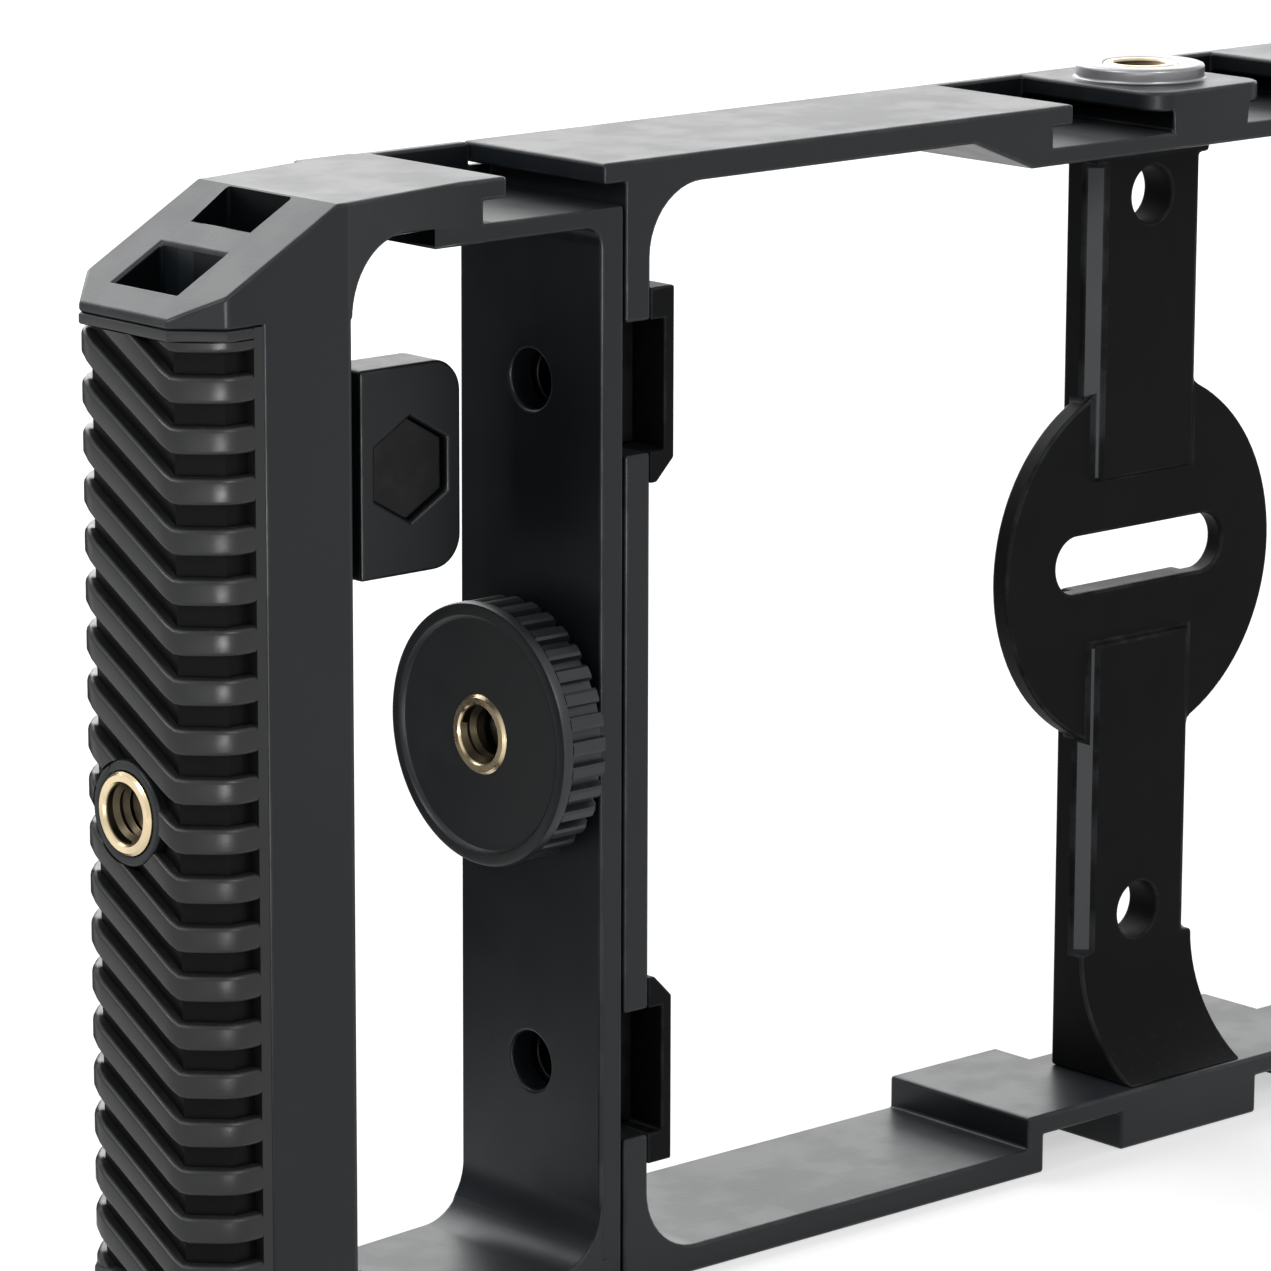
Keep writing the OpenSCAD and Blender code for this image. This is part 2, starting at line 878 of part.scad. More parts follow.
module tripod_insert() {
  color(brass_gold)
    upright_insert(0, socket_l);
}

module top_insert() {
  color(brass_gold)
    upright_insert(top_insert_z + seat_gap, rig_h + top_boss_h);
}

// Nut keepers

// A bracket inside the window that traps a square nut behind the wall's hole.
// Its cut corner faces the knob axis; side is 1 above the axis and -1 below it.
module keeper(side) {
  back_y = pocket_w / 2;
  translate([0, 0, axis_z + side * hole_z])
    mirror([0, 0, side > 0 ? 0 : 1]) {
      slab(-half_d, back_y)
        difference() {
          translate([window_x, -keeper_h / 2])
            square([keeper_reach, keeper_h]);
          translate([window_x - past, -pocket_w / 2])
            square([past + keeper_reach - keeper_bar, pocket_w]);
          translate([keeper_x, -keeper_h / 2])
            rotate(45)
              square(keeper_chamfer * sqrt(2), center = true);
        }
      slab(back_y, back_y + keeper_bar)
        difference() {
          translate([window_x, -keeper_h / 2])
            square([keeper_reach, keeper_h]);
          translate([keeper_x, -keeper_h / 2])
            rotate(45)
              square(keeper_chamfer * sqrt(2), center = true);
        }
    }
}

module left_upper_keeper() {
  color(body_black)
    keeper(1);
}

module left_lower_keeper() {
  color(body_black)
    keeper(-1);
}

module right_upper_keeper() {
  color(body_black)
    on_right()
      keeper(1);
}

module right_lower_keeper() {
  color(body_black)
    on_right()
      keeper(-1);
}

// Square nuts in the keepers
module wall_nuts() {
  for (side = [-1, 1])
    translate([0, 0, side * hole_z])
      difference() {
        translate([0, 0, axis_z])
          block([nut_x0, -nut_w / 2, -nut_w / 2], [nut_x1, nut_w / 2, nut_w / 2]);
        rod_x(nut_x0 - past, nut_x1 + past, thread_d);
      }
}

module left_wall_nuts() {
  color(body_black)
    wall_nuts();
}

module right_wall_nuts() {
  color(body_black)
    on_right()
      wall_nuts();
}

// Thumb knobs

// Threaded bush in the frame's side wall, which takes the knob's stud
module lock_bush() {
  difference() {
    rod_x(frame_x, window_x, bush_d);
    rod_x(frame_x - past, window_x + past, stud_d + 2 * run_gap);
  }
}

module left_lock_bush() {
  color(brass_gold)
    lock_bush();
}

module right_lock_bush() {
  color(brass_gold)
    on_right()
      lock_bush();
}

module knob_washer() {
  difference() {
    rod_x(washer_x, washer_x + washer_t, washer_d);
    rod_x(washer_x - past, washer_x + washer_t + past, stud_d + 2 * run_gap);
  }
}

module left_knob_washer() {
  color(steel_grey)
    knob_washer();
}

module right_knob_washer() {
  color(steel_grey)
    on_right()
      knob_washer();
}

// Half outline of the knob: radius along x, distance from the wall side along y
module knob_half() {
  r = knob_d / 2;
  difference() {
    square([r, knob_t]);
    translate([-past, knob_t - knob_dish])
      square([past + r - knob_lip_w, knob_dish + past]);
    translate([-past, knob_t - knob_insert_l])
      square([past + insert_d / 2 + seat_gap, knob_insert_l + past]);
    translate([-past, -past])
      square([past + stud_d / 2 + seat_gap, past + stud_hold]);
  }
}

module knob() {
  r = knob_d / 2;
  gap_w = PI * knob_d / knob_teeth / 2;
  translate([knob_back, 0, axis_z])
    rotate([0, -90, 0])
      difference() {
        rotate_extrude()
          knob_half();
        for (i = [0 : knob_teeth - 1])
          rotate(i * tooth_pitch)
            translate([r - tooth_depth, -gap_w / 2, -past])
              cube([tooth_depth + past, gap_w, past + knob_t - knob_face_t]);
      }
}

module left_knob() {
  color(body_black)
    knob();
}

module right_knob() {
  color(body_black)
    on_right()
      knob();
}

module knob_insert() {
  x0 = knob_front + knob_dish - insert_proud;
  x1 = knob_front + knob_insert_l - seat_gap;
  difference() {
    rod_x(x0, x1, insert_d);
    rod_x(x0 - past, x1 + past, thread_d);
  }
}

module left_knob_insert() {
  color(brass_gold)
    knob_insert();
}

module right_knob_insert() {
  color(brass_gold)
    on_right()
      knob_insert();
}

module knob_stud() {
  rod_x(knob_back - stud_hold + seat_gap, window_x - face_gap, stud_d);
}

module left_knob_stud() {
  color(steel_grey)
    knob_stud();
}

module right_knob_stud() {
  color(steel_grey)
    on_right()
      knob_stud();
}

center_frame();
center_post();
post_screws();
tripod_insert();
top_insert();
left_grip_frame();
right_grip_frame();
left_grip_sleeve();
right_grip_sleeve();
left_grip_insert();
right_grip_insert();
left_lug_nut();
right_lug_nut();
left_upper_keeper();
left_lower_keeper();
right_upper_keeper();
right_lower_keeper();
left_wall_nuts();
right_wall_nuts();
left_lock_bush();
right_lock_bush();
left_knob_washer();
left_knob();
left_knob_insert();
left_knob_stud();
right_knob_washer();
right_knob();
right_knob_insert();
right_knob_stud();
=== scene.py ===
import functools
import json
import math

import bmesh
import bpy
import numpy as np
from bpy.props import FloatProperty, FloatVectorProperty, IntProperty, PointerProperty
from bpy.types import Operator, Panel, PropertyGroup
from mathutils import Matrix, Vector
from mathutils.bvhtree import BVHTree
from mathutils.kdtree import KDTree


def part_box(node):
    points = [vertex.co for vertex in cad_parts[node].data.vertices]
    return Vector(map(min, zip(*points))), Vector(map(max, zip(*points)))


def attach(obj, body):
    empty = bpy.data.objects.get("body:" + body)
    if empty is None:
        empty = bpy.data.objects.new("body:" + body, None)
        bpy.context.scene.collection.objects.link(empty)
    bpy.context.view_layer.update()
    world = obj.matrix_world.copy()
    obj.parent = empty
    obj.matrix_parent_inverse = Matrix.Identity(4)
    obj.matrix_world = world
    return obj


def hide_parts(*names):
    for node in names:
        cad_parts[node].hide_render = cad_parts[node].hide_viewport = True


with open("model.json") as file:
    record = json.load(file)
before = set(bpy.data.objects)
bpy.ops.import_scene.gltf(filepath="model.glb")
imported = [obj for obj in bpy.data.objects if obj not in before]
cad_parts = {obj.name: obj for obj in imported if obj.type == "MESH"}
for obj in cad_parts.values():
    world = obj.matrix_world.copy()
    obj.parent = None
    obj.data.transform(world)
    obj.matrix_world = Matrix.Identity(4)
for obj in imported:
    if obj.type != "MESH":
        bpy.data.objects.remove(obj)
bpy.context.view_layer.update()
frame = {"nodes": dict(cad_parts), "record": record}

bl_info = {
    "name": "Phone cage",
    "version": (1, 0, 0),
    "blender": (4, 5, 0),
    "location": "3D View > Sidebar > Cage",
    "description": "Dresses the solids of a two-handed phone cage and lights them on a plain stage",
    "category": "Object",
}

MM = 0.001
SIDES = ("left", "right")
OUTWARD = {"left": Vector((-1, 0, 0)), "right": Vector((1, 0, 0))}
UP = Vector((0, 0, 1))
DOWN = Vector((0, 0, -1))
# Room between a piece and the insert, stud or boss in it
FIT = 0.02 * MM
# Steps round a turned piece
FINE_STEPS = 132
ROUND_STEPS = 64
SMALL_STEPS = 48


# Sizes, colours and light that a user would change

class CageSizes(PropertyGroup):
    edge_round: FloatProperty(
        name="Moulding edge", description="Rounding of the mouldings' edges",
        default=0.4 * MM, min=0.0, unit="LENGTH", precision=5)
    keeper_round: FloatProperty(
        name="Keeper edge", description="Rounding of the edges of keepers and nuts",
        default=0.25 * MM, min=0.0, unit="LENGTH", precision=5)
    rib_pitch: FloatProperty(
        name="Rib pitch", description="Distance from one rib of the sleeve to the next",
        default=5.0 * MM, min=1.0 * MM, unit="LENGTH", precision=5)
    rib_width: FloatProperty(
        name="Rib width", description="Upright width of a rib",
        default=2.8 * MM, min=0.5 * MM, unit="LENGTH", precision=5)
    rib_height: FloatProperty(
        name="Rib height", description="How far the ribs stand out of the sleeve's skin",
        default=1.2 * MM, min=0.1 * MM, unit="LENGTH", precision=5)
    rib_round: FloatProperty(
        name="Rib rounding", description="Rounding of the ribs' outer edges",
        default=0.55 * MM, min=0.05 * MM, unit="LENGTH", precision=5)
    rib_bend: FloatProperty(
        name="Rib bend", description="Radius of the ribs' bends round the grip's edges",
        default=4.5 * MM, min=1.5 * MM, unit="LENGTH", precision=5)
    rib_fall: FloatProperty(
        name="Rib fall", description="Slope of the ribs across the grip's outer face",
        default=math.radians(29), subtype="ANGLE")
    sleeve_skin: FloatProperty(
        name="Sleeve skin", description="Thickness of the sleeve between its ribs",
        default=1.0 * MM, min=0.2 * MM, unit="LENGTH", precision=5)
    sleeve_border: FloatProperty(
        name="Sleeve border", description="Width of the plain border round the ribs",
        default=1.2 * MM, min=0.2 * MM, unit="LENGTH", precision=5)
    grip_chamfer: FloatProperty(
        name="Grip chamfer", description="Cut on the grip's two outer edges",
        default=4.2 * MM, min=1.0 * MM, unit="LENGTH", precision=5)
    boss: FloatProperty(
        name="Insert boss", description="Diameter of the plain boss round a grip's insert",
        default=10.8 * MM, min=1.0 * MM, unit="LENGTH", precision=5)
    teeth: IntProperty(
        name="Knob teeth", description="Teeth round the rim of a knob", default=33, min=8)
    tooth_depth: FloatProperty(
        name="Tooth depth", description="Depth of the gaps between a knob's teeth",
        default=1.0 * MM, min=0.1 * MM, unit="LENGTH", precision=5)
    knob_face: FloatProperty(
        name="Knob face", description="Thickness of the smooth disc in front of the teeth",
        default=1.4 * MM, min=0.2 * MM, unit="LENGTH", precision=5)
    knob_lip: FloatProperty(
        name="Knob lip", description="Width of the raised lip round a knob's face",
        default=1.5 * MM, min=0.2 * MM, unit="LENGTH", precision=5)
    knob_dish: FloatProperty(
        name="Knob dish", description="Depth of a knob's face inside its lip",
        default=0.5 * MM, min=0.0, unit="LENGTH", precision=5)
    thread_pitch: FloatProperty(
        name="Thread pitch", description="Pitch of the quarter inch threads",
        default=1.27 * MM, min=0.2 * MM, unit="LENGTH", precision=5)
    thread_depth: FloatProperty(
        name="Thread depth", description="Depth of the quarter inch threads",
        default=0.5 * MM, min=0.1 * MM, unit="LENGTH", precision=5)


class CageFinish(PropertyGroup):
    body_colour: FloatVectorProperty(
        name="Moulding", description="Colour of the grips and the centre frame", subtype="COLOR",
        default=(0.0060, 0.0085, 0.0110), min=0.0, max=1.0)
    # Painted shade: the post and the keepers get a darker copy of the moulding's black
    shaded_post_colour: FloatVectorProperty(
        name="Post", description="Colour of the clamp post and the nut keepers", subtype="COLOR",
        default=(0.0040, 0.0042, 0.0046), min=0.0, max=1.0)
    # Colour of rubbed edges, and the base of the painted highlight on the post's chamfers
    rub_and_highlight_colour: FloatVectorProperty(
        name="Rubbed edge", description="Colour of the mouldings' rubbed edges", subtype="COLOR",
        default=(0.045, 0.047, 0.05), min=0.0, max=1.0)
    sleeve_colour: FloatVectorProperty(
        name="Sleeve", description="Colour of the ribbed rubber", subtype="COLOR",
        default=(0.0085, 0.0090, 0.0098), min=0.0, max=1.0)
    knob_colour: FloatVectorProperty(
        name="Knob", description="Colour of the knobs", subtype="COLOR",
        default=(0.0050, 0.0068, 0.0085), min=0.0, max=1.0)
    brass_colour: FloatVectorProperty(
        name="Brass", description="Colour of the thread inserts and the lock bushes", subtype="COLOR",
        default=(0.76, 0.62, 0.40), min=0.0, max=1.0)
    steel_colour: FloatVectorProperty(
        name="Steel", description="Colour of screws, studs and washers", subtype="COLOR",
        default=(0.46, 0.46, 0.47), min=0.0, max=1.0)
    oxide_colour: FloatVectorProperty(
        name="Black steel", description="Colour of the lug nuts and the wall nuts", subtype="COLOR",
        default=(0.030, 0.030, 0.031), min=0.0, max=1.0)
    plate_colour: FloatVectorProperty(
        name="Plated boss", description="Colour of the plated boss on top", subtype="COLOR",
        default=(0.27, 0.27, 0.28), min=0.0, max=1.0)
    grain_size: FloatProperty(
        name="Grain", description="Size of the mouldings' surface grain",
        default=0.45 * MM, min=0.05 * MM, unit="LENGTH", precision=5)


class CageStage(PropertyGroup):
    floor_colour: FloatVectorProperty(
        name="Floor", description="Colour of the floor", subtype="COLOR",
        default=(0.52, 0.52, 0.52), min=0.0, max=1.0)
    key_power: FloatProperty(
        name="Key light", description="Power of the soft light on the left",
        default=5.0, min=0.0, unit="POWER")
    front_power: FloatProperty(
        name="Front light", description="Power of the soft light in front",
        default=4.0, min=0.0, unit="POWER")
    top_power: FloatProperty(
        name="Top light", description="Power of the soft light above the back",
        default=9.0, min=0.0, unit="POWER")
    back_power: FloatProperty(
        name="Back light", description="Power of the wide low light behind",
        default=8.5, min=0.0, unit="POWER")
    bounce: FloatProperty(
        name="Bounce", description="Brightness of the card in front of the left grip",
        default=40.0, min=0.0)
    room_light: FloatProperty(
        name="Room light", description="Strength of the even light from all round",
        default=0.45, min=0.0)


# Meshes

def new_object(mesh, name):
    obj = bpy.data.objects.new(name, mesh)
    bpy.context.scene.collection.objects.link(obj)
    return obj


def mesh_of(bm, name):
    mesh = bpy.data.meshes.new(name)
    bm.to_mesh(mesh)
    bm.free()
    return mesh


def made_plain(obj):
    """Turns an object and its modifiers into a plain mesh."""
    graph = bpy.context.evaluated_depsgraph_get()
    mesh = bpy.data.meshes.new_from_object(
        obj.evaluated_get(graph), preserve_all_data_layers=True, depsgraph=graph)
    old = obj.data
    obj.modifiers.clear()
    obj.data = mesh
    bpy.data.meshes.remove(old)
    return obj


def smooth(mesh, angle=30):
    """Smooth shading that keeps edges sharper than angle, in degrees."""
    mesh.polygons.foreach_set("use_smooth", [True] * len(mesh.polygons))
    mesh.set_sharp_from_angle(angle=math.radians(angle))


def mark_faces(mesh, label, values):
    """Gives a mesh a face attribute of that name."""
    layer = mesh.attributes.new(label, "FLOAT", "FACE")
    layer.data.foreach_set("value", np.asarray(values, np.float32))


def joined(meshes, name):
    """One mesh from several."""
    bm = bmesh.new()
    for mesh in meshes:
        bm.from_mesh(mesh)
    result = mesh_of(bm, name)
    for mesh in meshes:
        bpy.data.meshes.remove(mesh)
    return result


def placed(mesh, axis, origin):
    """Turns a mesh made about Z onto an axis and moves it to its place."""
    turn = UP.rotation_difference(axis).to_matrix().to_4x4()
    mesh.transform(Matrix.Translation(origin) @ turn)
    return mesh


def mirrored(obj, name):
    """A copy of a piece for the other side of the cage."""
    mesh = obj.data.copy()
    mesh.name = name
    mesh.transform(Matrix.Diagonal((-1, 1, 1, 1)))
    mesh.flip_normals()
    return new_object(mesh, name)


def centre_of(node):
    """The middle and the extent of a CAD node."""
    low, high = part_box(node)
    return (low + high) / 2, high - low


def carry(obj, body, slot, material, *nodes):
    """Gives a finished piece its material and its body, and hides the CAD nodes that it stands for."""
    obj.data.materials.clear()
    obj.data.materials.append(material)
    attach(obj, body)
    if nodes:
        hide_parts(*nodes)
    return obj


# Copies of CAD nodes with rounded edges

# Points closer than this are one point
WELD = 1e-6
# Faces that meet at less than the first angle are one face, and only edges above the second are rounded
FLAT_ANGLE = math.radians(0.5)
SHARP_ANGLE = math.radians(26)
# Shares of rays at which a face starts to count as recessed and to get painted shade, and from there to a
# full recess with full painted shade
PAINTED_SHADE_START = 0.35
PAINTED_SHADE_RANGE = 0.4


def hole_planes(node):
    """Planes through the axes of the mounts in a node, as (point, normal). They open its faces' holes."""
    low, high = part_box(node)
    planes = set()
    for mount in frame["record"]["mounts"]:
        place = mount["pos_m"]
        if all(a - MM < c < b + MM for c, a, b in zip(place, low, high)):
            side = 1 if abs(mount["axis"][0]) > 0.5 else 0
            planes.add((side, round(place[side], 6)))
    for side, value in sorted(planes):
        normal = Vector((side == 0, side == 1, 0))
        yield normal * value, normal


def merged_copy(node, name, form=None):
    """A closed copy of a CAD node, with its flat faces joined and no hole inside a face.

    The form, where there is one, alters the copy first.
    """
    bm = bmesh.new()
    bm.from_mesh(frame["nodes"][node].data)
    bmesh.ops.remove_doubles(bm, verts=bm.verts, dist=WELD)
    if form:
        form(bm)
    for point, normal in hole_planes(node):
        cut = bmesh.ops.bisect_plane(bm, geom=[*bm.verts, *bm.edges, *bm.faces], dist=WELD,
                                     plane_co=point, plane_no=normal)
        for item in cut["geom_cut"]:
            if isinstance(item, bmesh.types.BMEdge):
                item.seam = True
    bmesh.ops.dissolve_limit(bm, angle_limit=FLAT_ANGLE, verts=bm.verts, edges=bm.edges, delimit={"SEAM"})
    mesh = mesh_of(bm, name)
    for layer in ("custom_normal", "sharp_edge", "sharp_face"):
        if layer in mesh.attributes:
            mesh.attributes.remove(mesh.attributes[layer])
    mesh.materials.clear()
    return mesh


def bevelled(bm, name, width, segments=2):
    """An object made from a bmesh, with its weighted edges rounded. The roundings have material 1."""
    mesh = bpy.data.meshes.new(name)
    bm.to_mesh(mesh)
    mesh.polygons.foreach_set("use_smooth", [True] * len(mesh.polygons))
    mesh.materials.append(None)
    mesh.materials.append(None)
    obj = new_object(mesh, name)
    bevel = obj.modifiers.new("Soft edges", "BEVEL")
    bevel.limit_method = "WEIGHT"
    bevel.width = width
    bevel.segments = segments
    bevel.material = 1
    bevel.use_clamp_overlap = False
    bevel.harden_normals = True
    return made_plain(obj)


def kd_tree(points):
    tree = KDTree(len(points))
    for k, point in enumerate(points):
        tree.insert(point, k)
    tree.balance()
    return tree


def points_along(edge, spacing, least=1):
    """Points spread evenly along an edge, both ends included, with at least that many steps."""
    start, end = (vert.co for vert in edge.verts)
    steps = max(least, math.ceil(edge.calc_length() / spacing))
    return [start.lerp(end, k / steps) for k in range(steps + 1)]


def crowded(edges, gap):
    """Those of the edges that run beside a longer one, closer than gap, with no corner shared."""
    points, owners = [], []
    for edge in edges:
        here = points_along(edge, gap / 4, 2)
        points += here
        owners += [edge] * len(here)
    tree = kd_tree(points)
    found = set()
    for point, edge in zip(points, owners):
        if edge in found:
            continue
        along = (edge.verts[1].co - edge.verts[0].co).normalized()
        for place, index, distance in tree.find_range(point, gap):
            other = owners[index]
            beside = abs((place - point).dot(along)) < 0.7 * distance
            apart = not set(edge.verts) & set(other.verts)
            if beside and apart and edge.calc_length() <= other.calc_length():
                found.add(edge)
                break
    return found


def strayed(mesh, width, skin, lines, corners):
    """Corners of a solid where a rounding of that width leaves its skin or runs off its edge."""
    run_off, at_corner = 4 * width, 0.01 * width
    off_skin, beside_corner = 0.8 * width, 3 * width
    bm = bmesh.new()
    bm.from_mesh(mesh)
    found = set()
    for vert in bm.verts:
        loose = lines.find(vert.co)[2] > run_off and corners.find(vert.co)[2] > at_corner
        if loose or skin.find_nearest(vert.co)[3] > off_skin:
            for edge in vert.link_edges:
                _, index, distance = corners.find(edge.other_vert(vert).co)
                if distance < beside_corner:
                    found.add(index)
    bm.free()
    return found


def soft_copy(node, name, width, tries=8, gap=2.2, form=None):
    """A copy of a CAD node with rounded edges. Its face attribute edge marks the roundings.

    An edge within gap widths of a longer one stays sharp. Where a rounding would leave the solid or run off
    its edge, the shortest edge at that corner stays sharp too.
    """
    source = merged_copy(node, name + "_source", form)
    bm = bmesh.new()
    bm.from_mesh(source)
    bpy.data.meshes.remove(source)
    skin = BVHTree.FromBMesh(bm)
    bm.verts.ensure_lookup_table()
    weight = bm.edges.layers.float.new("bevel_weight_edge")
    for face in bm.faces:
        face.material_index = 0
    sharp = [edge for edge in bm.edges if edge.calc_face_angle(0.0) > SHARP_ANGLE]
    close = crowded(sharp, gap * width) if gap else set()
    points = []
    for edge in sharp:
        if edge in close:
            edge.smooth = False
        else:
            edge[weight] = 1.0
            points += points_along(edge, width)
    lines = kd_tree(points)
    corners = kd_tree([vert.co for vert in bm.verts])
    for attempt in range(tries):
        obj = bevelled(bm, name, width)
        wrong = strayed(obj.data, width, skin, lines, corners)
        if not wrong or attempt == tries - 1:
            break
        for index in wrong:
            softened = [edge for edge in bm.verts[index].link_edges if edge[weight] > 0]
            if softened:
                shortest = min(softened, key=lambda edge: edge.calc_length())
                shortest[weight] = 0.0
                shortest.smooth = False
        bpy.data.meshes.remove(obj.data)
    bm.free()
    mesh = obj.data
    low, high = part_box(node)
    for vert in mesh.vertices:
        near, _, _, distance = skin.find_nearest(vert.co)
        point = near if distance > 0.5 * width else vert.co
        vert.co = [min(max(c, a), b) for c, a, b in zip(point, low, high)]
    index = np.zeros(len(mesh.polygons), np.int32)
    mesh.polygons.foreach_get("material_index", index)
    mark_faces(mesh, "edge", index == 1)
    mesh.polygons.foreach_set("material_index", np.zeros_like(index))
    mesh.materials.clear()
    # Painted shade: faces deep in recesses are marked to be darkened
    paint_recess_shade(mesh)
    return obj


def paint_recess_shade(mesh, reach=0.03, rays=48):
    """Paints shade into recesses: marks how deep each face lies in a recess, from the share of rays that meet
    the piece again, as a face attribute that the materials darken by.
    """
    bm = bmesh.new()
    bm.from_mesh(mesh)
    skin = BVHTree.FromBMesh(bm)
    bm.free()
    fan = []
    for k in range(rays):
        r, a = math.sqrt((k + 0.5) / rays), k * math.pi * (3 - math.sqrt(5))
        fan.append(Vector((r * math.cos(a), r * math.sin(a), math.sqrt(1 - r * r))))
    mesh.calc_loop_triangles()
    largest = {}
    for triangle in mesh.loop_triangles:
        known = largest.get(triangle.polygon_index)
        if known is None or triangle.area > known.area:
            largest[triangle.polygon_index] = triangle
    depth = np.zeros(len(mesh.polygons), np.float32)
    for index, triangle in largest.items():
        turn = UP.rotation_difference(triangle.normal)
        start = Vector(triangle.center) + triangle.normal * 0.01 * MM
        met = sum(skin.ray_cast(start, turn @ ray, reach)[0] is not None for ray in fan)
        depth[index] = min(1.0, max(0.0, (met / rays - PAINTED_SHADE_START) / PAINTED_SHADE_RANGE))
    mark_faces(mesh, "groove", depth)


def level_lips(bm):
    """Brings the sloped lips at both ends of the top bar up to its top."""
    near = 0.01 * MM
    end = max(vert.co.x for vert in bm.verts) - near
    lips = [vert for vert in bm.verts if abs(vert.co.x) > end]
    rim = max(vert.co.z for vert in lips) - near
    for vert in lips:
        if vert.co.z > rim:
            vert.co.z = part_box("left_grip_frame")[1].z


# Turned and swept meshes

def mark_radius(mesh):
    """Marks each point's distance from Z in mm."""
    points = np.zeros(len(mesh.vertices) * 3, np.float32)
    mesh.vertices.foreach_get("co", points)
    points = points.reshape(-1, 3)
    layer = mesh.attributes.new("turn", "FLOAT", "POINT")
    layer.data.foreach_set("value", np.hypot(points[:, 0], points[:, 1]) / MM)


def turned(profile, steps, name):
    """A mesh turned about Z from a closed loop of (radius, height)."""
    bm = bmesh.new()
    rings = []
    for i in range(steps):
        a = 2 * math.pi * i / steps
        rings.append([bm.verts.new((r * math.cos(a), r * math.sin(a), h)) for r, h in profile])
    count = len(profile)
    for i in range(steps):
        here, there = rings[i], rings[(i + 1) % steps]
        for k in range(count):
            m = (k + 1) % count
            if profile[k][0] < 1e-9 and profile[m][0] < 1e-9:
                continue
            bm.faces.new((here[k], there[k], there[m], here[m]))
    bmesh.ops.remove_doubles(bm, verts=bm.verts, dist=1e-8)
    bmesh.ops.dissolve_degenerate(bm, edges=bm.edges, dist=1e-8)
    bmesh.ops.recalc_face_normals(bm, faces=bm.faces)
    mesh = mesh_of(bm, name)
    mark_radius(mesh)
    return mesh


def set_turned(mesh, node, axis, body, slot, material):
    """Puts a mesh turned about Z, from 0 up, in the place of its CAD node, with its top along the axis."""
    centre, extent = centre_of(node)
    smooth(mesh)
    placed(mesh, axis, centre - axis * abs(extent.dot(axis)) / 2)
    carry(new_object(mesh, node + "_dressed"), body, slot, material, node)


def skinned(bm, rows):
    """Joins rows of points by faces and closes the first and the last row."""
    count = len(rows[0])
    for here, there in zip(rows, rows[1:]):
        for k in range(count):
            m = (k + 1) % count
            bm.faces.new((here[k], here[m], there[m], there[k]))
    bm.faces.new(reversed(rows[0]))
    bm.faces.new(rows[-1])


def swept(bm, path, section, lift=None):
    """Sweeps a section of (outward, upward) points along a plan path. lift raises each path point."""
    rows = []
    for k, (point, out) in enumerate(path):
        z = lift[k] if lift else 0.0
        rows.append([bm.verts.new(point + out * u + Vector((0, 0, z + v))) for u, v in section])
    skinned(bm, rows)


def raised(path, z):
    """A plan path at the height z."""
    return [(point + Vector((0, 0, z)), out) for point, out in path]


# Geometry trees for what repeats

def built_once(name):
    """Decorates the maker of a node group, so that the group is made once and then kept."""
    def kept(make):
        @functools.wraps(make)
        def group():
            if name not in bpy.data.node_groups:
                make(name)
            return bpy.data.node_groups[name]
        return group
    return kept


def new_tree(name, sockets):
    """A geometry tree with named inputs. Returns its input node, a maker of nodes and a maker of links."""
    tree = bpy.data.node_groups.new(name, "GeometryNodeTree")
    tree.interface.new_socket("Geometry", in_out="OUTPUT", socket_type="NodeSocketGeometry")
    for label, kind in sockets.items():
        tree.interface.new_socket(label, in_out="INPUT", socket_type="NodeSocket" + kind)

    def add(kind, **values):
        node = tree.nodes.new(kind)
        for key, value in values.items():
            setattr(node, key, value)
        return node

    def link(source, output, target, socket):
        tree.links.new(source.outputs[output], target.inputs[socket])

    return add("NodeGroupInput"), add, link


def end_tree(given, add, link, source, output):
    """Makes a tree's geometry real, gives it its material and puts it out."""
    real = add("GeometryNodeRealizeInstances")
    paint = add("GeometryNodeSetMaterial")
    result = add("NodeGroupOutput")
    link(source, output, real, "Geometry")
    link(real, "Geometry", paint, "Geometry")
    link(given, "Material", paint, "Material")
    link(paint, "Geometry", result, "Geometry")


def with_tree(mesh, name, tree, values):
    """Runs a geometry tree on a mesh and returns the plain result."""
    obj = new_object(mesh, name)
    modifier = obj.modifiers.new(tree.name, "NODES")
    modifier.node_group = tree
    for item in tree.interface.items_tree:
        if item.in_out == "INPUT" and item.name in values:
            modifier[item.identifier] = values[item.name]
    return made_plain(obj)


@built_once("Thread ridge")
def thread_tree(name):
    """A helical ridge about Z: a small diamond swept along a spiral."""
    given, add, link = new_tree(name, {
        "Radius": "Float", "Pitch": "Float", "Turns": "Float", "Depth": "Float", "Material": "Material"})
    height = add("ShaderNodeMath", operation="MULTIPLY")
    spiral = add("GeometryNodeCurveSpiral")
    upright = add("GeometryNodeSetCurveNormal", mode="Z_UP")
    diamond = add("GeometryNodeCurvePrimitiveCircle", mode="RADIUS")
    sweep = add("GeometryNodeCurveToMesh")
    spiral.inputs["Resolution"].default_value = 40
    diamond.inputs["Resolution"].default_value = 4
    sweep.inputs["Fill Caps"].default_value = True
    link(given, "Pitch", height, 0)
    link(given, "Turns", height, 1)
    link(given, "Turns", spiral, "Rotations")
    link(given, "Radius", spiral, "Start Radius")
    link(given, "Radius", spiral, "End Radius")
    link(height, 0, spiral, "Height")
    link(spiral, "Curve", upright, "Curve")
    link(given, "Depth", diamond, "Radius")
    link(upright, "Curve", sweep, "Curve")
    link(diamond, "Curve", sweep, "Profile Curve")
    end_tree(given, add, link, sweep, "Mesh")


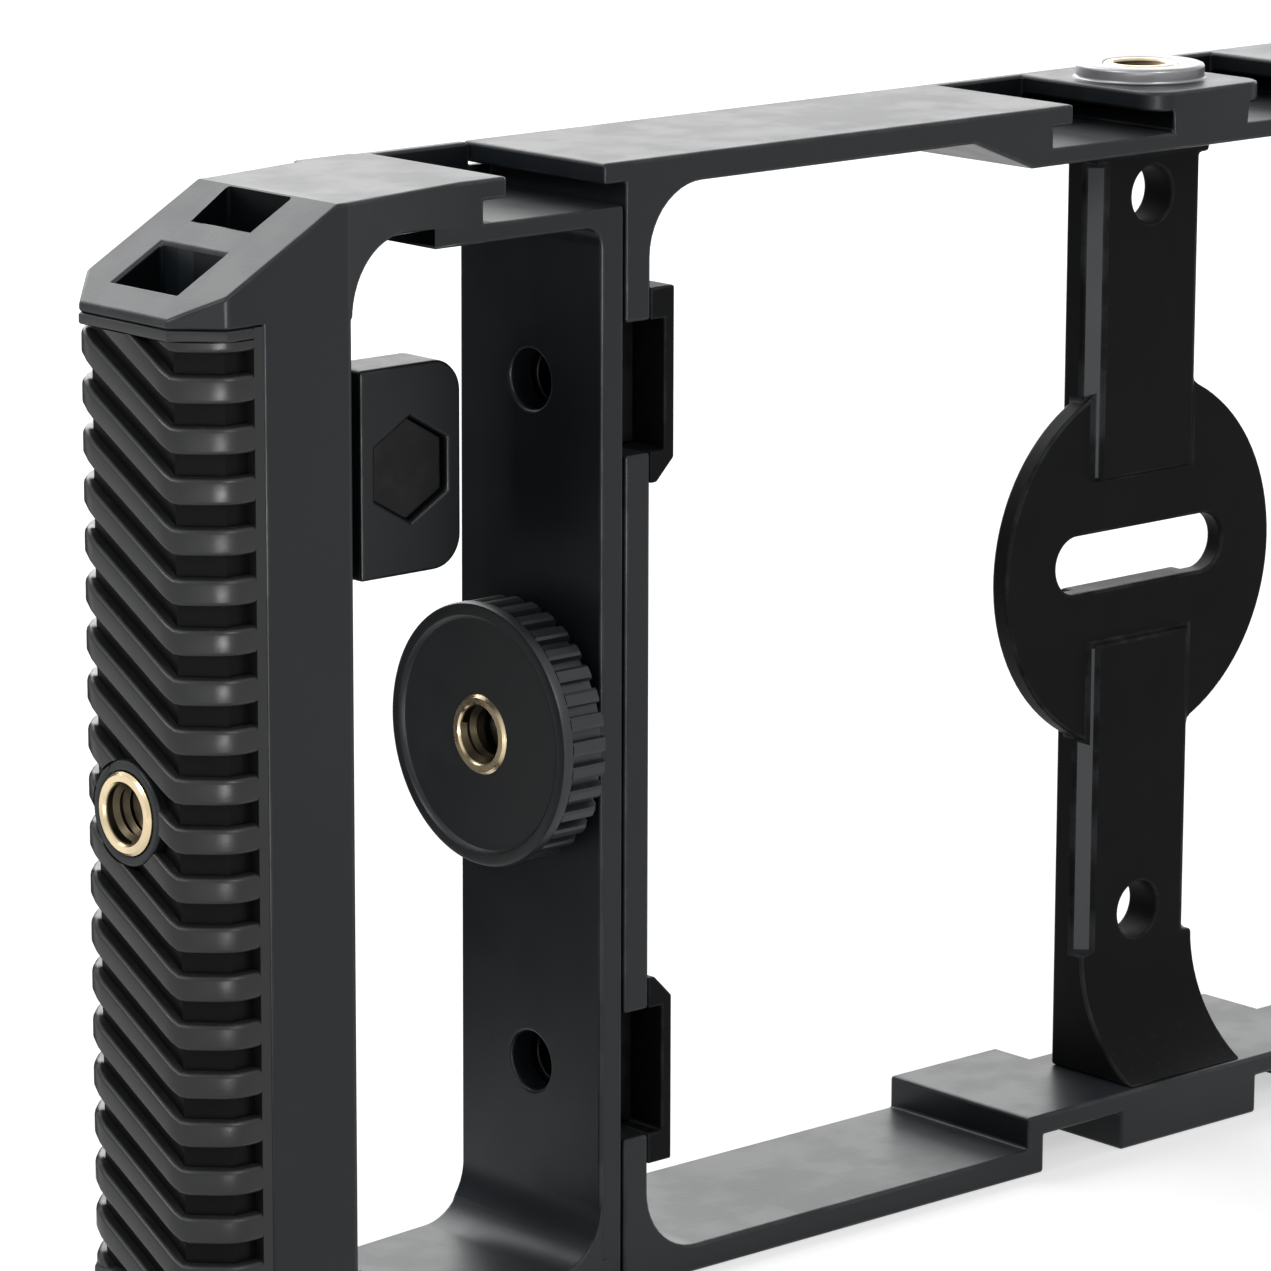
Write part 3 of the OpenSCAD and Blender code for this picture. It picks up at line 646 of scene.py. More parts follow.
def thread(radius, length, start, material, name):
    """A thread ridge of that length along Z, from the height start."""
    sizes = bpy.context.scene.cage_sizes
    obj = with_tree(bpy.data.meshes.new(name), name, thread_tree(), {
        "Radius": radius, "Pitch": sizes.thread_pitch, "Turns": length / sizes.thread_pitch,
        "Depth": sizes.thread_depth, "Material": material})
    mesh = obj.data
    bpy.data.objects.remove(obj)
    mesh.transform(Matrix.Translation((0, 0, start)))
    mark_radius(mesh)
    return mesh


@built_once("Tooth ring")
def tooth_tree(name):
    """Teeth set round a turned body."""
    given, add, link = new_tree(name, {
        "Geometry": "Geometry", "Tooth": "Object", "Teeth": "Int", "Radius": "Float", "Material": "Material"})
    ring = add("GeometryNodeMeshCircle")
    tooth = add("GeometryNodeObjectInfo")
    outward = add("GeometryNodeInputPosition")
    facing = add("FunctionNodeAlignRotationToVector", axis="X", pivot_axis="Z")
    spread = add("GeometryNodeInstanceOnPoints")
    both = add("GeometryNodeJoinGeometry")
    link(given, "Teeth", ring, "Vertices")
    link(given, "Radius", ring, "Radius")
    link(given, "Tooth", tooth, "Object")
    link(outward, "Position", facing, "Vector")
    link(ring, "Mesh", spread, "Points")
    link(tooth, "Geometry", spread, "Instance")
    link(facing, "Rotation", spread, "Rotation")
    link(given, "Geometry", both, "Geometry")
    link(spread, "Instances", both, "Geometry")
    end_tree(given, add, link, both, "Geometry")


@built_once("Sleeve ribs")
def rib_tree(name):
    """Ribs set up a sleeve, trimmed to its field and round the insert's boss."""
    given, add, link = new_tree(name, {
        "Geometry": "Geometry", "Rib": "Object", "Count": "Int", "First": "Vector", "Step": "Vector",
        "Field": "Vector", "Field place": "Vector", "Boss radius": "Float", "Boss place": "Vector",
        "Material": "Material"})
    line = add("GeometryNodeMeshLine", mode="OFFSET")
    rib = add("GeometryNodeObjectInfo")
    spread = add("GeometryNodeInstanceOnPoints")
    ribs = add("GeometryNodeRealizeInstances")
    field = add("GeometryNodeMeshCube")
    field_at = add("GeometryNodeTransform")
    kept = add("GeometryNodeMeshBoolean", operation="INTERSECT", solver="EXACT")
    boss = add("GeometryNodeMeshCylinder")
    boss_at = add("GeometryNodeTransform")
    clear = add("GeometryNodeMeshBoolean", operation="DIFFERENCE", solver="EXACT")
    both = add("GeometryNodeJoinGeometry")
    boss.inputs["Vertices"].default_value = ROUND_STEPS
    boss.inputs["Depth"].default_value = 20 * MM
    boss_at.inputs["Rotation"].default_value = (0, math.pi / 2, 0)
    link(given, "Count", line, "Count")
    link(given, "First", line, "Start Location")
    link(given, "Step", line, "Offset")
    link(given, "Rib", rib, "Object")
    link(line, "Mesh", spread, "Points")
    link(rib, "Geometry", spread, "Instance")
    link(spread, "Instances", ribs, "Geometry")
    link(given, "Field", field, "Size")
    link(field, "Mesh", field_at, "Geometry")
    link(given, "Field place", field_at, "Translation")
    link(ribs, "Geometry", kept, "Mesh 2")
    link(field_at, "Geometry", kept, "Mesh 2")
    link(given, "Boss radius", boss, "Radius")
    link(boss, "Mesh", boss_at, "Geometry")
    link(given, "Boss place", boss_at, "Translation")
    link(kept, "Mesh", clear, "Mesh 1")
    link(boss_at, "Geometry", clear, "Mesh 2")
    link(given, "Geometry", both, "Geometry")
    link(clear, "Mesh", both, "Geometry")
    end_tree(given, add, link, both, "Geometry")


# Shared surface effects

def effect(name, given, made):
    """A shader group. Inputs with a number are values and those with None vectors, and outputs are values.

    Returns the group, the sockets that bring its inputs and the sockets that take its outputs.
    """
    group = bpy.data.node_groups.new(name, "ShaderNodeTree")
    for label, value in given.items():
        kind = "NodeSocketVector" if value is None else "NodeSocketFloat"
        item = group.interface.new_socket(label, in_out="INPUT", socket_type=kind)
        if value is not None:
            item.default_value = value
    for label in made:
        group.interface.new_socket(label, in_out="OUTPUT", socket_type="NodeSocketFloat")
    return group, group.nodes.new("NodeGroupInput").outputs, group.nodes.new("NodeGroupOutput").inputs


def feed(tree, value, socket):
    """Gives an input socket a number or another node's output."""
    if isinstance(value, (int, float)):
        socket.default_value = value
    else:
        tree.links.new(value, socket)


def math_node(tree, operation, a, b=None):
    """A math node whose inputs are sockets or numbers. Returns its output."""
    node = tree.nodes.new("ShaderNodeMath")
    node.operation = operation
    feed(tree, a, node.inputs[0])
    if b is not None:
        feed(tree, b, node.inputs[1])
    return node.outputs[0]


def ramp(tree, value, low, high, to_low=0.0, to_high=1.0):
    """Maps a value smoothly from one range to another."""
    node = tree.nodes.new("ShaderNodeMapRange")
    node.interpolation_type = "SMOOTHSTEP"
    tree.links.new(value, node.inputs["Value"])
    for label, number in (("From Min", low), ("From Max", high), ("To Min", to_low), ("To Max", to_high)):
        node.inputs[label].default_value = number
    return node.outputs["Result"]


def noise(tree, vector, scale, detail, rough=0.55):
    """A noise texture. The scale is a number or a socket."""
    node = tree.nodes.new("ShaderNodeTexNoise")
    node.inputs["Detail"].default_value = detail
    node.inputs["Roughness"].default_value = rough
    tree.links.new(vector, node.inputs["Vector"])
    feed(tree, scale, node.inputs["Scale"])
    return node.outputs["Fac"]


@built_once("Moulded grain")
def grain_group(name):
    """Fine cast grain: Height for a bump, Tone for slow changes, Gloss for patches of polish."""
    group, given, made = effect(name, {"Vector": None, "Size": 0.4 * MM}, ("Height", "Tone", "Gloss"))
    place = given["Vector"]
    scale = math_node(group, "DIVIDE", 1.0, given["Size"])
    cells = group.nodes.new("ShaderNodeTexVoronoi")
    cells.feature = "SMOOTH_F1"
    group.links.new(place, cells.inputs["Vector"])
    group.links.new(scale, cells.inputs["Scale"])
    coarse = math_node(group, "MULTIPLY", cells.outputs["Distance"], 0.6)
    fine = math_node(group, "MULTIPLY", noise(group, place, scale, detail=3.0), 0.5)
    group.links.new(math_node(group, "ADD", coarse, fine), made["Height"])
    group.links.new(ramp(group, noise(group, place, scale=26.0, detail=3.0), 0.3, 0.7), made["Tone"])
    group.links.new(ramp(group, noise(group, place, scale=170.0, detail=4.0), 0.32, 0.68), made["Gloss"])


@built_once("Edge rub")
def rub_group(name):
    """Where edges are rubbed: the edge mask broken up by noise."""
    group, given, made = effect(name, {"Vector": None, "Edge": 0.0}, ("Mask",))
    spots = noise(group, given["Vector"], scale=90.0, detail=5.0, rough=0.65)
    patches = ramp(group, spots, 0.42, 0.66)
    group.links.new(math_node(group, "MULTIPLY", given["Edge"], patches), made["Mask"])


@built_once("Settled dust")
def dust_group(name):
    """A little dust on faces that look up."""
    group, given, made = effect(name, {"Vector": None, "Normal": None}, ("Mask",))
    split = group.nodes.new("ShaderNodeSeparateXYZ")
    group.links.new(given["Normal"], split.inputs["Vector"])
    up = ramp(group, split.outputs["Z"], 0.35, 1.0)
    fine = noise(group, given["Vector"], scale=900.0, detail=3.0, rough=0.7)
    broad = noise(group, given["Vector"], scale=40.0, detail=4.0)
    specks = ramp(group, fine, 0.56, 0.74)
    film = ramp(group, broad, 0.35, 0.75, 0.15, 0.6)
    dust = math_node(group, "ADD", specks, film)
    group.links.new(math_node(group, "MULTIPLY", up, dust), made["Mask"])


@built_once("Turning marks")
def lathe_group(name):
    """Turning marks on metal, from a point's radius in mm."""
    group, given, made = effect(name, {"Vector": None, "Radius": 0.0}, ("Height", "Tone"))
    rings = math_node(group, "SINE", math_node(group, "MULTIPLY", given["Radius"], 42.0))
    fine = noise(group, given["Vector"], scale=1800.0, detail=3.0)
    height = math_node(group, "ADD", math_node(group, "MULTIPLY", rings, 0.3), fine)
    group.links.new(height, made["Height"])
    patches = noise(group, given["Vector"], scale=260.0, detail=4.0)
    group.links.new(ramp(group, patches, 0.3, 0.7), made["Tone"])


def use_group(tree, group, **values):
    """Places a shader group in a material, with sockets or numbers for its inputs."""
    node = tree.nodes.new("ShaderNodeGroup")
    node.node_tree = group
    for label, value in values.items():
        feed(tree, value, node.inputs[label.capitalize()])
    return node.outputs


# Materials

# How much of the rubbed colour, the dust's colour and the near-black painted shade of recesses comes through
# at most
RUB_TINT = 0.6
DUST_TINT = 0.042
PAINTED_SHADE_TINT = 0.8
DUST_COLOUR = (0.32, 0.31, 0.29)
PAINTED_SHADE_COLOUR = (0.001, 0.001, 0.001)
# How much a rubbed edge is smoother and a dusty face rougher
RUB_POLISH = 0.10
DUST_DULL = 0.035
# How much lighter than a rubbed edge the painted highlight on the post's chamfers is
PAINTED_HIGHLIGHT_GAIN = 2.2
# Darkest and lightest tone of a moulding, darkest tone of a metal outside its bore, and the painted shade
# inside its bore
TONE_LOW = 0.8
TONE_HIGH = 1.25
METAL_LOW = 0.78
BORE_SHADE_TONE = 0.10
# How much a metal is rougher and smoother in patches and rougher in its bore, and the soft edge of the bore's
# painted shade in mm
METAL_ROUGHER = 0.08
METAL_SMOOTHER = 0.05
BORE_ROUGHER = 0.15
BORE_BLUR = 0.12
TURNING_DEPTH = 0.012 * MM
BUMP_STRENGTH = 0.5


def shade(colour, factor=1.0):
    return tuple(factor * c for c in colour)


def blend_colour(tree, factor, low, high):
    """Mixes two colours, each a triple or a socket."""
    node = tree.nodes.new("ShaderNodeMix")
    node.data_type = "RGBA"
    tree.links.new(factor, node.inputs["Factor"])
    for socket, colour in ((node.inputs[6], low), (node.inputs[7], high)):
        if hasattr(colour, "is_linked"):
            tree.links.new(colour, socket)
        else:
            socket.default_value = (*colour, 1.0)
    return node.outputs[2]


def start_material(name):
    """An empty material with its tree, its shader and its object coordinates."""
    material = bpy.data.materials.new(name)
    material.use_nodes = True
    tree = material.node_tree
    tree.nodes.clear()
    output = tree.nodes.new("ShaderNodeOutputMaterial")
    shader = tree.nodes.new("ShaderNodeBsdfPrincipled")
    tree.links.new(shader.outputs["BSDF"], output.inputs["Surface"])
    place = tree.nodes.new("ShaderNodeTexCoord").outputs["Object"]
    return material, tree, shader, place


def attribute(tree, name):
    node = tree.nodes.new("ShaderNodeAttribute")
    node.attribute_name = name
    return node.outputs["Fac"]


def bump(tree, shader, height, depth):
    node = tree.nodes.new("ShaderNodeBump")
    node.inputs["Distance"].default_value = depth
    node.inputs["Strength"].default_value = BUMP_STRENGTH
    tree.links.new(height, node.inputs["Height"])
    tree.links.new(node.outputs["Normal"], shader.inputs["Normal"])


def moulding(name, colour, rough, swing, specular, grain, depth):
    """A moulded black: grain, polish in patches, rubbed edges, painted shade in recesses and a trace of dust.

    Faces marked for a painted highlight are lighter, and those with the attribute plated are metal.
    """
    if name in bpy.data.materials:
        return bpy.data.materials[name]
    look = bpy.context.scene.cage_finish
    material, tree, shader, place = start_material(name)
    normal = tree.nodes.new("ShaderNodeNewGeometry").outputs["Normal"]
    cast = use_group(tree, grain_group(), vector=place, size=grain)
    rub = use_group(tree, rub_group(), vector=place, edge=attribute(tree, "edge"))["Mask"]
    film = use_group(tree, dust_group(), vector=place, normal=normal)["Mask"]
    groove = attribute(tree, "groove")
    plated = attribute(tree, "plated")

    base = blend_colour(tree, cast["Tone"], shade(colour, TONE_LOW), shade(colour, TONE_HIGH))
    base = blend_colour(tree, math_node(tree, "MULTIPLY", rub, RUB_TINT), base, shade(look.rub_and_highlight_colour))
    # Painted highlight: marked faces are made much lighter than a rubbed edge
    base = blend_colour(tree, attribute(tree, "painted_highlight"), base, shade(look.rub_and_highlight_colour, PAINTED_HIGHLIGHT_GAIN))
    base = blend_colour(tree, math_node(tree, "MULTIPLY", film, DUST_TINT), base, DUST_COLOUR)
    # Painted shade: recesses are darkened toward near black
    base = blend_colour(tree, math_node(tree, "MULTIPLY", groove, PAINTED_SHADE_TINT), base, PAINTED_SHADE_COLOUR)
    base = blend_colour(tree, plated, base, shade(look.plate_colour))
    tree.links.new(base, shader.inputs["Base Color"])
    tree.links.new(plated, shader.inputs["Metallic"])

    # The painted shade also takes reflection out of recesses
    specular_lost_to_shade = math_node(tree, "MULTIPLY", groove, PAINTED_SHADE_TINT * specular)
    tree.links.new(math_node(tree, "SUBTRACT", specular, specular_lost_to_shade), shader.inputs["Specular IOR Level"])

    value = ramp(tree, cast["Gloss"], 0.0, 1.0, rough - swing, rough + swing)
    value = math_node(tree, "ADD", value, math_node(tree, "MULTIPLY", film, DUST_DULL))
    value = math_node(tree, "SUBTRACT", value, math_node(tree, "MULTIPLY", rub, RUB_POLISH))
    tree.links.new(value, shader.inputs["Roughness"])
    bump(tree, shader, cast["Height"], depth)
    return material


def metal(name, colour, rough, bore=0.0):
    """Turned metal with fine marks and slow changes of tone, with painted shade and a rougher surface inside
    the radius bore in mm.
    """
    if name in bpy.data.materials:
        return bpy.data.materials[name]
    material, tree, shader, place = start_material(name)
    shader.inputs["Metallic"].default_value = 1.0
    radius = attribute(tree, "turn")
    marks = use_group(tree, lathe_group(), vector=place, radius=radius)
    base = blend_colour(tree, marks["Tone"], shade(colour, METAL_LOW), shade(colour))
    value = ramp(tree, marks["Tone"], 0.0, 1.0, rough + METAL_ROUGHER, rough - METAL_SMOOTHER)
    if bore:
        # Painted shade inside the bore
        inside = ramp(tree, radius, bore - BORE_BLUR, bore, 1.0, 0.0)
        base = blend_colour(tree, inside, base, shade(colour, BORE_SHADE_TONE))
        value = math_node(tree, "ADD", value, math_node(tree, "MULTIPLY", inside, BORE_ROUGHER))
    tree.links.new(base, shader.inputs["Base Color"])
    tree.links.new(value, shader.inputs["Roughness"])
    bump(tree, shader, marks["Height"], TURNING_DEPTH)
    return material


def body_black():
    look = bpy.context.scene.cage_finish
    return moulding("Satin black moulding", look.body_colour, rough=0.40, swing=0.02, specular=0.28,
                    grain=look.grain_size, depth=0.02 * MM)


# A darker, less shiny copy of the black moulding: painted shade on the set-back clamp post, also used for the
# nut keepers
def shaded_post_black():
    look = bpy.context.scene.cage_finish
    return moulding("Shaded matt black post", look.shaded_post_colour, rough=0.48, swing=0.03, specular=0.06,
                    grain=look.grain_size, depth=0.02 * MM)


def sleeve_black():
    look = bpy.context.scene.cage_finish
    return moulding("Ribbed black rubber", look.sleeve_colour, rough=0.36, swing=0.04, specular=0.40,
                    grain=0.3 * MM, depth=0.015 * MM)


def knob_black():
    look = bpy.context.scene.cage_finish
    return moulding("Fine black knob", look.knob_colour, rough=0.44, swing=0.03, specular=0.52,
                    grain=0.25 * MM, depth=0.012 * MM)


def brass():
    return metal("Pale brass", bpy.context.scene.cage_finish.brass_colour, rough=0.26, bore=3.2)


def steel():
    return metal("Plated steel", bpy.context.scene.cage_finish.steel_colour, rough=0.30)


def black_steel():
    return metal("Black-oxide steel", bpy.context.scene.cage_finish.oxide_colour, rough=0.42)


# Mouldings

# How far the face of a front chamfer looks to a side and to the front at least
CHAMFER_ASIDE = 0.686
CHAMFER_AHEAD = 0.68


def on_front_chamfer(normal):
    """Whether a face looks half to the front and half to a side, as the post's chamfers do."""
    return abs(normal.x) > CHAMFER_ASIDE and normal.y < -CHAMFER_AHEAD


class CAGE_OT_frame(Operator):
    """Rounds the edges of the centre frame and the clamp post"""
    bl_idname = "cage.frame"
    bl_label = "Centre frame and post"

    def execute(self, context):
        width = context.scene.cage_sizes.edge_round
        body = soft_copy("center_frame", "centre_frame_dressed", width, form=level_lips)
        boss_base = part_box("left_grip_frame")[1].z + 0.1 * MM
        mark_faces(body.data, "plated", [face.center.z > boss_base for face in body.data.polygons])
        carry(body, "cage", "frame", body_black(), "center_frame")
        post = soft_copy("center_post", "clamp_post_dressed", width, gap=0)
        # Painted highlight on the post's front chamfers
        mark_faces(post.data, "painted_highlight", [on_front_chamfer(face.normal) for face in post.data.polygons])
        carry(post, "cage", "frame", shaded_post_black(), "center_post")
        return {"FINISHED"}


class CAGE_OT_grips(Operator):
    """Rounds the edges of both grip frames"""
    bl_idname = "cage.grips"
    bl_label = "Grip frames"

    def execute(self, context):
        width = context.scene.cage_sizes.edge_round
        for side in SIDES:
            node = side + "_grip_frame"
            carry(soft_copy(node, side + "_grip_dressed", width), "cage", "grip", body_black(), node)
        return {"FINISHED"}


class CAGE_OT_keepers(Operator):
    """Rounds the edges of the four nut keepers"""
    bl_idname = "cage.keepers"
    bl_label = "Nut keepers"

    def execute(self, context):
        width = context.scene.cage_sizes.keeper_round
        for side in SIDES:
            for level in ("upper", "lower"):
                node = "%s_%s_keeper" % (side, level)
                carry(soft_copy(node, node + "_dressed", width), "cage", "keeper", shaded_post_black(), node)
        return {"FINISHED"}


# Sleeves

# Rounding of the border, and how deep the border and the ribs sink into the skin
BORDER_ROUND = 0.3 * MM
BORDER_SINK = 0.1 * MM
RIB_SINK = 0.15 * MM
# Size of the box round the ribs, across and from front to back
FIELD_X = 40 * MM
FIELD_Y = 60 * MM


def sleeve_path(box, chamfer, inset=0.0, radius=0.0, steps=4):
    """Plan of the sleeve from its front end to its back end, as (point, outward vector).

    Its corners are round where there is a radius.
    """
    low, high = box
    x0, x1, y0, y1 = low.x, high.x - inset, low.y, high.y
    plan = [(x1, y0), (x0 + chamfer, y0), (x0, y0 + chamfer),
            (x0, y1 - chamfer), (x0 + chamfer, y1), (x1, y1)]
    plan = [Vector((*point, 0)) for point in plan]
    path = [(plan[0], Vector((0, -1, 0)))]
    for before, corner, after in zip(plan, plan[1:], plan[2:]):
        first = (corner - before).normalized().cross(DOWN)
        last = (after - corner).normalized().cross(DOWN)
        out = (first + last).normalized()
        stretch = 1 / math.cos(first.angle(last) / 2)
        if radius:
            middle = corner - out * radius * stretch
            for k in range(steps + 1):
                ray = first.slerp(last, k / steps)
                path.append((middle + ray * radius, ray))
        else:
            path.append((corner, out * stretch))
    return path + [(plan[-1], Vector((0, 1, 0)))]


def rounded(u0, u1, v, r, steps=4):
    """Section of a rib from depth u0 to its outside u1 and from -v up to v, with round outer corners."""
    bends = [math.pi / 2 * i / steps for i in range(1, steps)]
    lower = [(u1 - r + r * math.sin(a), -v + r - r * math.cos(a)) for a in bends]
    upper = [(u1 - r + r * math.cos(a), v - r + r * math.sin(a)) for a in bends]
    return [(u0, -v), (u1 - r, -v), *lower, (u1, -v + r), (u1, v - r), *upper, (u1 - r, v), (u0, v)]


def flat_half(box, sizes):
    """Half the width of a grip's outer face between its chamfers."""
    low, high = box
    return (high.y - low.y) / 2 - sizes.grip_chamfer


def skin_mesh(box, sizes):
    """A sleeve without its ribs: its skin, marked as a recess for full painted shade, and the border along
    its four sides.
    """
    low, high = box
    length = high.z - low.z
    rim = sizes.sleeve_border
    floor = -sizes.rib_height
    inner = floor - sizes.sleeve_skin
    root = floor - BORDER_SINK
    path = sleeve_path(box, sizes.grip_chamfer)
    bm = bmesh.new()
    groove = bm.faces.layers.float.new("groove")
    swept(bm, raised(path, low.z), [(inner, 0), (floor, 0), (floor, length), (inner, length)])
    # The skin between the ribs gets full painted shade
    for face in bm.faces:
        face[groove] = 1.0
    for z in (low.z + rim / 2, high.z - rim / 2):
        swept(bm, raised(path, z), rounded(root, 0, rim / 2, BORDER_ROUND))
    for end in (0, -1):
        point, out = path[end]
        strip = [(point, out), (point - Vector((rim, 0, 0)), out)]
        if end:
            strip.reverse()
        swept(bm, raised(strip, (low.z + high.z) / 2),
              [(root, -length / 2), (0, -length / 2), (0, length / 2), (root, length / 2)])
    bmesh.ops.recalc_face_normals(bm, faces=bm.faces)
    return mesh_of(bm, "left_sleeve_dressed")


def rib_mesh(box, sizes):
    """One rib round the grip, slanted on the outer face and level beside it."""
    low, high = box
    path = sleeve_path(box, sizes.grip_chamfer, sizes.sleeve_border, sizes.rib_bend)
    half = flat_half(box, sizes)
    centre = (low.y + high.y) / 2
    lift = [max(-half, min(half, point.y - centre)) * math.tan(sizes.rib_fall) for point, _ in path]
    bm = bmesh.new()
    swept(bm, path, rounded(-sizes.rib_height - RIB_SINK, 0, sizes.rib_width / 2, sizes.rib_round), lift)
    bmesh.ops.recalc_face_normals(bm, faces=bm.faces)
    return mesh_of(bm, "rib")


def trim_boss(obj, radius, place):
    """Cuts a sleeve clear of the boss round the grip's insert."""
    reach = 20 * MM
    mesh = turned([(0, -reach), (radius, -reach), (radius, reach), (0, reach)], ROUND_STEPS, "boss_cutter")
    cutter = new_object(placed(mesh, OUTWARD["right"], place), "boss_cutter")
    cut = obj.modifiers.new("Boss", "BOOLEAN")
    cut.operation = "DIFFERENCE"
    cut.solver = "EXACT"
    cut.use_self = True
    cut.object = cutter
    made_plain(obj)
    bpy.data.objects.remove(cutter)


class CAGE_OT_sleeves(Operator):
    """Makes the ribbed sleeves: a skin with a border, and ribs set up it by a geometry tree"""
    bl_idname = "cage.sleeves"
    bl_label = "Ribbed sleeves"

    def execute(self, context):
        sizes = context.scene.cage_sizes
        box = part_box("left_grip_sleeve")
        low, high = box
        length = high.z - low.z
        middle = (low.z + high.z) / 2
        pitch = sizes.rib_pitch
        fall = 2 * flat_half(box, sizes) * math.tan(sizes.rib_fall)
        half = math.ceil((length + fall) / (2 * pitch))
        insert, _ = centre_of("left_grip_insert")
        boss = sizes.boss / 2 + FIT
        boss_place = Vector((low.x, insert.y, insert.z))
        skin = skin_mesh(box, sizes)
        rib = new_object(rib_mesh(box, sizes), "rib")
        sleeve = with_tree(skin, "left_sleeve_dressed", rib_tree(), {
            "Rib": rib, "Count": 2 * half + 1,
            "First": Vector((0, 0, middle + pitch / 2 - half * pitch)), "Step": Vector((0, 0, pitch)),
            "Field": Vector((FIELD_X, FIELD_Y, length - 2 * sizes.sleeve_border)),
            "Field place": Vector(((low.x + high.x) / 2, (low.y + high.y) / 2, middle)),
            "Boss radius": boss, "Boss place": boss_place, "Material": sleeve_black()})
        bpy.data.objects.remove(rib)
        trim_boss(sleeve, boss, boss_place)
        smooth(sleeve.data, 35)
        other = mirrored(sleeve, "right_sleeve_dressed")
        carry(sleeve, "cage", "sleeve", sleeve_black(), "left_grip_sleeve")
        carry(other, "cage", "sleeve", sleeve_black(), "right_grip_sleeve")
        return {"FINISHED"}


# Knobs

def knob_profile(side, radius, thickness, sizes):
    """Half section of a knob without its teeth, from its back at 0 to its face."""
    _, insert = centre_of(side + "_knob_insert")
    _, stud = centre_of(side + "_knob_stud")
    rim = radius - sizes.tooth_depth
    lip = radius - sizes.knob_lip
    disc = thickness - sizes.knob_face
    dish = thickness - sizes.knob_dish
    hole = insert.y / 2 + FIT
    shank = stud.y / 2 + FIT
    insert_rise = 0.3 * MM
    pocket = dish + insert_rise - insert.x
    back_edge, disc_edge, seat_edge = 0.5 * MM, 0.2 * MM, 0.2 * MM
    face_edge, face_arc = 0.45 * MM, 0.13 * MM
    lip_edge, lip_drop, lip_slope = 0.2 * MM, 0.12 * MM, 0.25 * MM
    return [
        (shank, 0), (rim - back_edge, 0), (rim, back_edge), (rim, disc), (radius - disc_edge, disc),
        (radius, disc + disc_edge), (radius, thickness - face_edge),
        (radius - face_arc, thickness - face_arc), (radius - face_edge, thickness),
        (lip + lip_edge, thickness), (lip, thickness - lip_drop), (lip - lip_slope, dish),
        (hole, dish), (hole, pocket), (shank, pocket - seat_edge)]


def tooth_mesh(depth, gap, disc):
    """A tooth that stands out along X, from the knob's back up to its disc, with a sloped foot."""
    root, shoulder, crest = -0.3 * MM, depth - 0.25 * MM, depth - 0.05 * MM
    root_half, crest_half = 0.30 * gap, 0.22 * gap
    shoulder_half = crest_half + 0.05 * gap
    flat_crest = crest_half * 0.7
    section = [(root, -root_half), (shoulder, -shoulder_half), (crest, -flat_crest),
               (crest, flat_crest), (shoulder, shoulder_half), (root, root_half)]
    bm = bmesh.new()
    rows = []
    for z, share in ((0.25 * MM, 0.45), (0.7 * MM, 1.0), (disc + 0.05 * MM, 1.0)):
        rows.append([bm.verts.new((u if u < 0 else u * share, v, z)) for u, v in section])
    skinned(bm, rows)
    bmesh.ops.recalc_face_normals(bm, faces=bm.faces)
    return mesh_of(bm, "tooth")


class CAGE_OT_knobs(Operator):
    """Turns the knobs' bodies and sets teeth round them by a geometry tree"""
    bl_idname = "cage.knobs"
    bl_label = "Thumb knobs"

    def execute(self, context):
        sizes = context.scene.cage_sizes
        for side in SIDES:
            name = side + "_knob_dressed"
            centre, extent = centre_of(side + "_knob")
            radius, thickness = extent.y / 2, extent.x
            rim = radius - sizes.tooth_depth
            gap = 2 * math.pi * radius / sizes.teeth
            body = turned(knob_profile(side, radius, thickness, sizes), FINE_STEPS, name)
            tooth = new_object(tooth_mesh(radius - rim, gap, thickness - sizes.knob_face), "tooth")
            knob = with_tree(body, name, tooth_tree(), {
                "Tooth": tooth, "Teeth": sizes.teeth, "Radius": rim, "Material": knob_black()})
            bpy.data.objects.remove(tooth)
            smooth(knob.data)
            placed(knob.data, OUTWARD[side], centre - OUTWARD[side] * thickness / 2)
            carry(knob, side + "_knob", "knob", knob_black(), side + "_knob")
        return {"FINISHED"}


# Inserts and fasteners

def insert_mesh(length, outer, material, name):
    """A thread insert about Z from 0 to its mouth at length, with a thread inside."""
    root = 3.05 * MM
    edge = 0.3 * MM
    mouth, mouth_depth = 0.25 * MM, 0.35 * MM
    thread_start, plain_ends = 0.45 * MM, 1.1 * MM
    ring = turned([
        (root, 0), (outer - edge, 0), (outer, edge), (outer, length - edge), (outer - edge, length),
        (root + mouth, length), (root, length - mouth_depth)], ROUND_STEPS, name)
    ridge = thread(root, length - plain_ends, thread_start, material, name + "_thread")
    return joined([ring, ridge], name)


def bush_mesh(length, outer, name):
    """A plain bush about Z with broken edges inside and outside."""
    bore = 3.23 * MM
    edge = 0.25 * MM
    return turned([
        (bore, edge), (bore + edge, 0), (outer - edge, 0), (outer, edge), (outer, length - edge),
        (outer - edge, length), (bore + edge, length), (bore, length - edge)], ROUND_STEPS, name)


def washer_mesh(length, outer, name):
    """A washer about Z with broken outer edges."""
    bore = 3.225 * MM
    edge = 0.15 * MM
    return turned([
        (bore, 0), (outer - edge, 0), (outer, edge), (outer, length - edge), (outer - edge, length),
        (bore, length)], ROUND_STEPS, name)


def stud_mesh(length, outer, material, name):
    """A threaded stud about Z with a pointed lower end."""
    core = outer - bpy.context.scene.cage_sizes.thread_depth
    point = 0.5 * MM
    thread_start, plain_ends = 0.6 * MM, 1.6 * MM
    shaft = turned([(0, 0), (core - point, 0), (core, point), (core, length), (0, length)],
                   SMALL_STEPS, name + "_shaft")
    ridge = thread(core, length - plain_ends, thread_start, material, name + "_thread")
    return joined([shaft, ridge], name)


